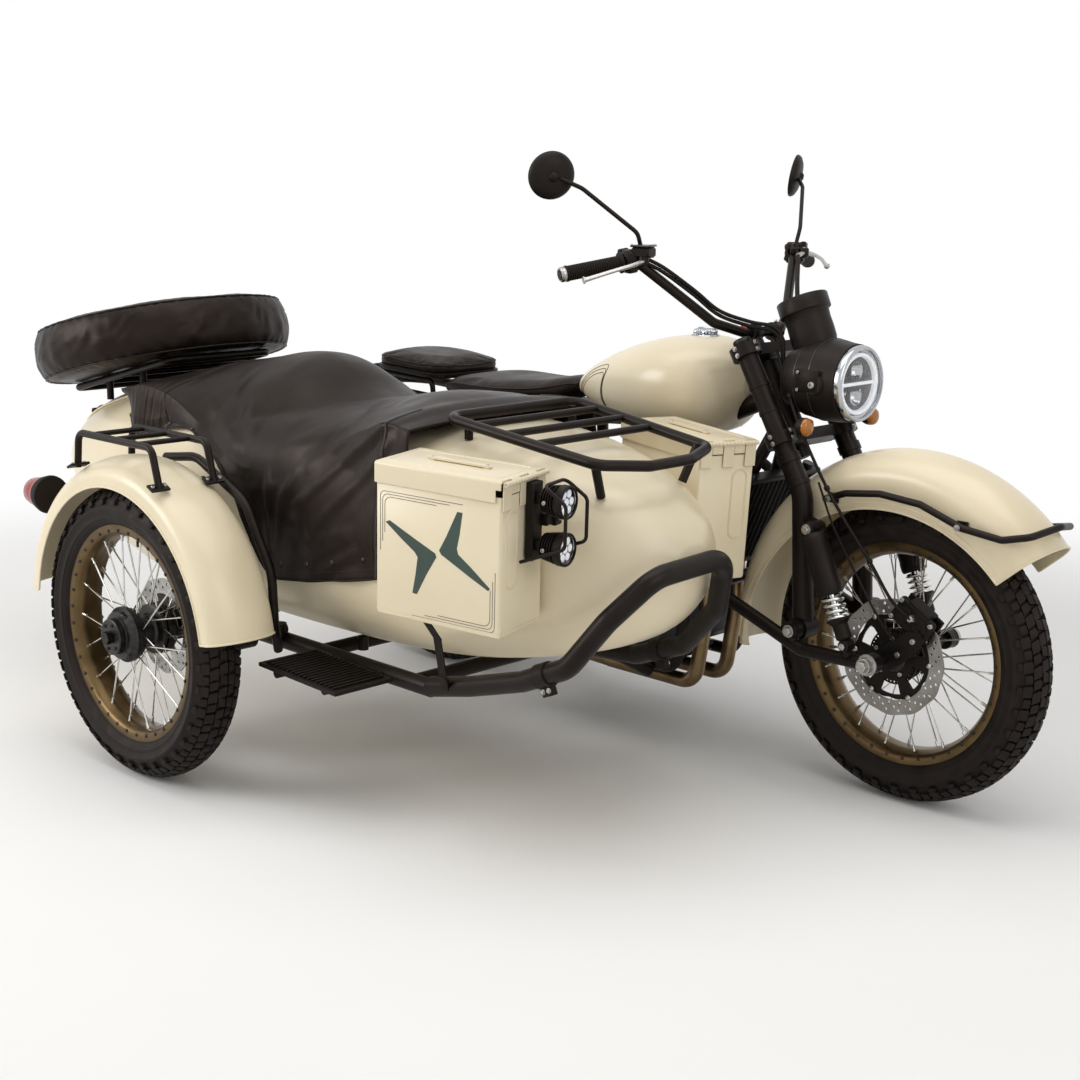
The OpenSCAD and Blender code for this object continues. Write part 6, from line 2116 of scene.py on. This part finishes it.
# drive chain: pressed plates and rollers round both sprockets
chain = {"pitch": 0.0159, "plate": 0.0016}
chainRun = []
for k in range(49):
    t = math.radians(84.4 + 191.2 * k / 48)
    chainRun.append(bike(-235 + 87.5 * math.cos(t), 75, 330 + 87.5 * math.sin(t)))
for k in range(25):
    t = math.radians(-84.4 + 168.8 * k / 24)
    chainRun.append(bike(284 + 38.5 * math.cos(t), 75, 320 + 38.5 * math.sin(t)))
lengths = [0.0]
for k in range(len(chainRun)):
    lengths.append(lengths[-1] + (chainRun[(k + 1) % len(chainRun)] - chainRun[k]).length)
count = round(lengths[-1] / chain["pitch"] / 2) * 2


def onChain(s):
    s %= lengths[-1]
    k = next(i for i in range(len(chainRun)) if lengths[i + 1] >= s)
    f = (s - lengths[k]) / max(1e-9, lengths[k + 1] - lengths[k])
    return chainRun[k].lerp(chainRun[(k + 1) % len(chainRun)], f)


links = Shape()
pins = [onChain(lengths[-1] * k / count) for k in range(count)]
for k, p in enumerate(pins):
    q = pins[(k + 1) % count]
    spun(links, p - across * 0.0046, across, mm([(0, 0), (2.4, 0), (2.4, 9.2), (0, 9.2)]), groundSteel, 8)
    spun(links, p - across * 0.0028, across, mm([(2.4, 0), (4.8, 0), (4.8, 5.6), (2.4, 5.6)]),
        chainSteel, 10, closed=True)
    d = (q - p).normalized()
    n = across.cross(d)
    for y in ((-0.0044, 0.0044) if k % 2 else (-0.003, 0.003)):
        ring = []
        for end, sign in ((p, -1), (q, 1)):
            for t in (-80, -40, 0, 40, 80):
                a = math.radians(t)
                ring.append(end + d * sign * 0.0068 * math.cos(a) + n * sign * 0.0068 * math.sin(a))
        slab(links, ring, y - 0.0007, y + 0.0007, chainSteel)
build("driveChain", links, "chassis", replaces=["drive_chain"])

# foot pegs with ribbed rubbers, pedals and their arms
pegs = Shape()
for side in (-1, 1):
    for inner, tip, r in ((bike(250, 124 * side, 300), bike(250, 236 * side, 296), 0.015),
            (bike(-60, 150 * side, 332), bike(-60, 222 * side, 330), 0.013)):
        d, length = (tip - inner).normalized(), (tip - inner).length
        spun(pegs, inner, d, [(0, 0), (r * 0.66, 0), (r * 0.66, 0.02), (0, 0.02)], satinBlack, 24)
        outline = [(0, 0.018), (r, 0.018)]
        for k in range(int((length - 0.026) / 0.009)):
            h = 0.02 + 0.009 * k
            outline += [(r, h), (r, h + 0.0055), (r - 0.0018, h + 0.0062), (r - 0.0018, h + 0.0082)]
        spun(pegs, inner, d, outline + [(r, length - 0.006), (r, length - 0.001), (r - 0.002, length),
            (0, length)], rubber, 32)
    tube(pegs, bent([bike(330, 190 * side, 290), bike(420, 190 * side, 284),
        bike(428, 222 * side, 284)], 12), 0.0055, zinc if side > 0 else satinBlack, 14)
    spun(pegs, bike(428, 204 * side, 284), Vector((0, side, 0)),
        mm([(0, 0), (9.5, 0), (10, 2), (10, 16), (8.5, 18), (0, 18)]), rubber, 24)
build("footPegs", pegs, "chassis", replaces=["foot_pegs"])
print("motorcycle ready")


# bent tubes: racks, bumper, rails and handlebar with round bends and capped ends
def bentTubes(name, body, at, runs, bars, node, finish=satinBlack):
    shape = Shape()
    for path, radius, bend in runs:
        tube(shape, bent([at(*p) for p in path], bend / 1000, step=7), radius / 1000, finish, 24)
    for x, y, z, length, radius in bars:
        tube(shape, [at(x, y - length / 2, z), at(x, y + length / 2, z)], radius / 1000, finish, 18)
    return build(name, shape, body, angle=50, replaces=[node])


def mirrored(half):  # a run from the left side carried over to the right
    return half + [(x, -y, z) for x, y, z in reversed(half) if y]


bentTubes("noseRack", "chassis", car, [([(860.5, 174.5, 825), (661, 187, 850), (661, -187, 850),
    (1060, -162, 800), (1100, -60, 792), (1100, 60, 792), (1060, 162, 800), (860.5, 174.5, 825)], 11,
    36)] + [([(690, 150 * s, 846), (690, 150 * s, 804.8)], 9, 10) for s in (-1,
    1)] + [([(1040, 150 * s, 802), (1029, 119 * s, 730)], 9, 10) for s in (-1, 1)],
    [(x, 0, 850 - (x - 661) * 0.126, 2 * (187 - (x - 661) * 0.07), 8) for x in (735, 815, 895)],
    "nose_rack")
bentTubes("frontBumper", "chassis", outer, [([(700.2, 238, 308.3), (820, 236, 336), (970, 232, 380),
    (1090, 232, 432), (1160, 262, 530), (1215, 330, 612), (1208, 540, 618), (1160, 580, 500),
    (1040, 624, 392), (880, 662, 330), (700.2, 694.2, 306.3)], 21, 62)], [], "front_bumper")
bentTubes("fenderRack", "chassis", outer, [([(-150, y, 686), (-140, y, 764), (150, y, 764),
    (176, y, 676)], 8, 24) for y in (-52, 84)] + [([(-60, 118, 700), (60, 118, 716), (240, 116, 640),
    (330, 116, 500), (330, 120, 380), (300, 150, 320)], 10, 90)],
    [(x, 16, 764, 136, 6) for x in (-90, 0, 90)], "fender_rack")
railHalf = [(1096, 101, 653), (1150, 102, 673), (1236, 102, 684), (1334, 102, 676), (1433, 100, 641),
    (1522, 96, 630), (1576, 80, 642)]
bentTubes("fenderRail", "steering", bike, [(mirrored(railHalf + [(1596, 0, 655)]), 7.5, 22)],
    [(x, 91 * s, z, 13, 6) for x, z in ((1110, 656), (1427, 642)) for s in (-1, 1)], "fender_rail")
bentTubes("handleBar", "steering", bike, [(mirrored([(628, 445, 1118), (700, 285, 1148),
    (800, 130, 1010), (838, 60, 985)]), 11, 40)], [], "handlebar")
cableRuns = Shape()
for side in (-1, 1):
    for shift in (0, 9):  # two sleeved cables each, taped along the bar
        tube(cableRuns, smoothPath([bike(x + 0.3 * shift, y * side,
            z + shift) for x, y, z in ((696, 294, 1150), (716, 272, 1143), (745, 240, 1122),
            (786, 186, 1074), (822, 142, 1030), (862, 86, 1006), (914, 64, 996), (936, 60, 962),
            (940, 58, 850))], 8), 0.0042, rubber, 12)
build("controlCables", cableRuns, "steering", replaces=["control_cables"])
print("bent tubes ready")

# finishes of the plain tubes and brackets

nodeFinish = [(satinBlack, "bike_frame rear_swingarm sidecar_frame sidecar_swingarm front_bumper "
    "nose_rack fender_rack trunk_rack steering_fork leading_link fender_rail "
    "handlebar front_shocks shock_absorbers"),
    (matBlack, "trunk_hinges foot_pegs step_plate brake_caliper spot_lamps"),
    (casting, "radiator engine_block"), (heatSteel, "exhaust_system"),
    (cream, "fuel_tank side_covers rear_fender front_fender sidecar_fender sidecar_tub "
    "trunk_lid outer_box inner_box outer_box_lid inner_box_lid"), (chrome, "fuel_cap headlamp"),
    (leather, "saddle pillion_seat"), (redLens, "tail_lamp sidecar_lamp"),
    (moulded, "lamp_shell gauge_pod hand_controls mirrors"), (amber, "front_indicators"),
    (rubber, "control_cables"), (vinyl, "spare_wheel tonneau_cover"), (chainSteel, "drive_chain"),
    (tread, "front_tyre rear_tyre sidecar_tyre"), (bronze, "front_rim rear_rim sidecar_rim"),
    (groundSteel, "front_brake_disc")]
for material, nodes in nodeFinish:
    for name in nodes.split():
        for slot in frame["nodes"][name].material_slots:
            slot.material = material
print("CAD nodes finished")


# room, lamps and camera

room = {"floor": "#f4f3f1", "worldLight": 0.46, "key": 74, "fill": 32, "rim": 105, "radius": 30.0,
    "fadeFrom": 1.9, "fadeTo": 3.6}


def studioFloor():  # pale paint that keeps the shadow near the object and turns plain white further out
    material = newFinish("pavedFloorPaint", room["floor"], "#f7f6f4", 0.9, cloud=900,
        relief=[(8, 0.05, 0.2, "lumps")])
    tree = material.node_tree
    shader = tree.nodes["Principled BSDF"]
    place = addNode(tree, "ShaderNodeTexCoord").outputs["Object"]
    distance = addNode(tree, "ShaderNodeVectorMath", {"operation": "LENGTH"}, {0: place})
    fade = addNode(tree, "ShaderNodeMapRange", {"interpolation_type": "SMOOTHSTEP", 1: room["fadeFrom"],
        2: room["fadeTo"]}, {0: distance.outputs["Value"]})
    rays = addNode(tree, "ShaderNodeLightPath")
    first = addNode(tree, "ShaderNodeMath", {"operation": "MAXIMUM"},
        {0: rays.outputs["Is Camera Ray"], 1: rays.outputs["Is Glossy Ray"]})
    seen = addNode(tree, "ShaderNodeMath", {"operation": "MAXIMUM"},
        {0: first.outputs[0], 1: rays.outputs["Is Transmission Ray"]})
    share = addNode(tree, "ShaderNodeMath", {"operation": "MULTIPLY"},
        {0: seen.outputs[0], 1: fade.outputs[0]})
    white = addNode(tree, "ShaderNodeEmission", {"Color": linear("#ffffff"), "Strength": 1.0})
    mix = addNode(tree, "ShaderNodeMixShader", {}, {0: share.outputs[0], 1: shader.outputs[0],
        2: white.outputs[0]})
    tree.links.new(mix.outputs[0], tree.nodes["Material Output"].inputs["Surface"])
    return material


floor = Shape()
spun(floor, (0, 0, 0), up, [(0, 0), (room["radius"], 0)], studioFloor(), 96)
ground = newPiece("studioFloor", newMesh("studioFloor", floor, False))
faceUp(ground.data)

world = bpy.data.worlds.new("studio")
bpy.context.scene.world = world
world.use_nodes = True
tree = world.node_tree
plain = tree.nodes["Background"]
plain.inputs["Color"].default_value = linear("#ffffff")
plain.inputs["Strength"].default_value = room["worldLight"]
bright = addNode(tree, "ShaderNodeBackground", {"Color": linear("#ffffff"), "Strength": 1.0})
rays = addNode(tree, "ShaderNodeLightPath")
both = addNode(tree, "ShaderNodeMath", {"operation": "MAXIMUM"},
    {0: rays.outputs["Is Camera Ray"], 1: rays.outputs["Is Glossy Ray"]})
every = addNode(tree, "ShaderNodeMath", {"operation": "MAXIMUM"},
    {0: both.outputs[0], 1: rays.outputs["Is Transmission Ray"]})
choose = addNode(tree, "ShaderNodeMixShader", {}, {0: every.outputs[0], 1: plain.outputs[0],
    2: bright.outputs[0]})
tree.links.new(choose.outputs[0], tree.nodes["World Output"].inputs["Surface"])


def softLamp(name, place, target, size, power):
    lamp = bpy.data.lights.new(name, "AREA")
    lamp.shape, lamp.size, lamp.size_y, lamp.energy = "RECTANGLE", size[0], size[1], power
    holder = bpy.data.objects.new(name, lamp)
    holder.matrix_world = (Matrix.Translation(place) @ (Vector(target)
        - Vector(place)).to_track_quat("-Z", "Y").to_matrix().to_4x4())
    bpy.context.scene.collection.objects.link(holder)


softLamp("topBox", (0.4, -0.6, 4.2), (0, 0, 0.5), (4.2, 3.0), room["key"])
softLamp("rightBox", (4.2, -0.6, 2.6), (0.2, 0, 0.6), (2.4, 2.4), room["fill"])
softLamp("leftBox", (-2.6, -4.0, 2.4), (-0.2, 0, 0.6), (2.6, 2.2), room["rim"])

view = {"azimuth": 44.96, "elevation": 12.37, "roll": 0.53, "lens": 57.67, "eye": (3.242, -1.999, 1.357)}
az, el, roll = (math.radians(view[a]) for a in ("azimuth", "elevation", "roll"))
forward = Vector((-math.sin(az) * math.cos(el), math.cos(az) * math.cos(el), -math.sin(el)))
right = Vector((math.cos(az), math.sin(az), 0))
above = right.cross(forward)
camera = bpy.data.cameras.new("camera")
camera.sensor_width, camera.lens, camera.clip_end = 36, view["lens"], 100
eye = bpy.data.objects.new("camera", camera)
turn = Matrix((right * math.cos(roll) + above * math.sin(roll),
    above * math.cos(roll) - right * math.sin(roll), -forward)).transposed()
eye.matrix_world = Matrix.Translation(outer(0, 0, 0) + Vector(view["eye"])) @ turn.to_4x4()
bpy.context.scene.collection.objects.link(eye)
bpy.context.scene.camera = eye
bpy.context.scene.view_settings.view_transform = "Standard"
print("room, lamps and camera ready")

for unit in units:  # the copied heads and links are no pieces of their own
    bpy.data.objects.remove(unit)
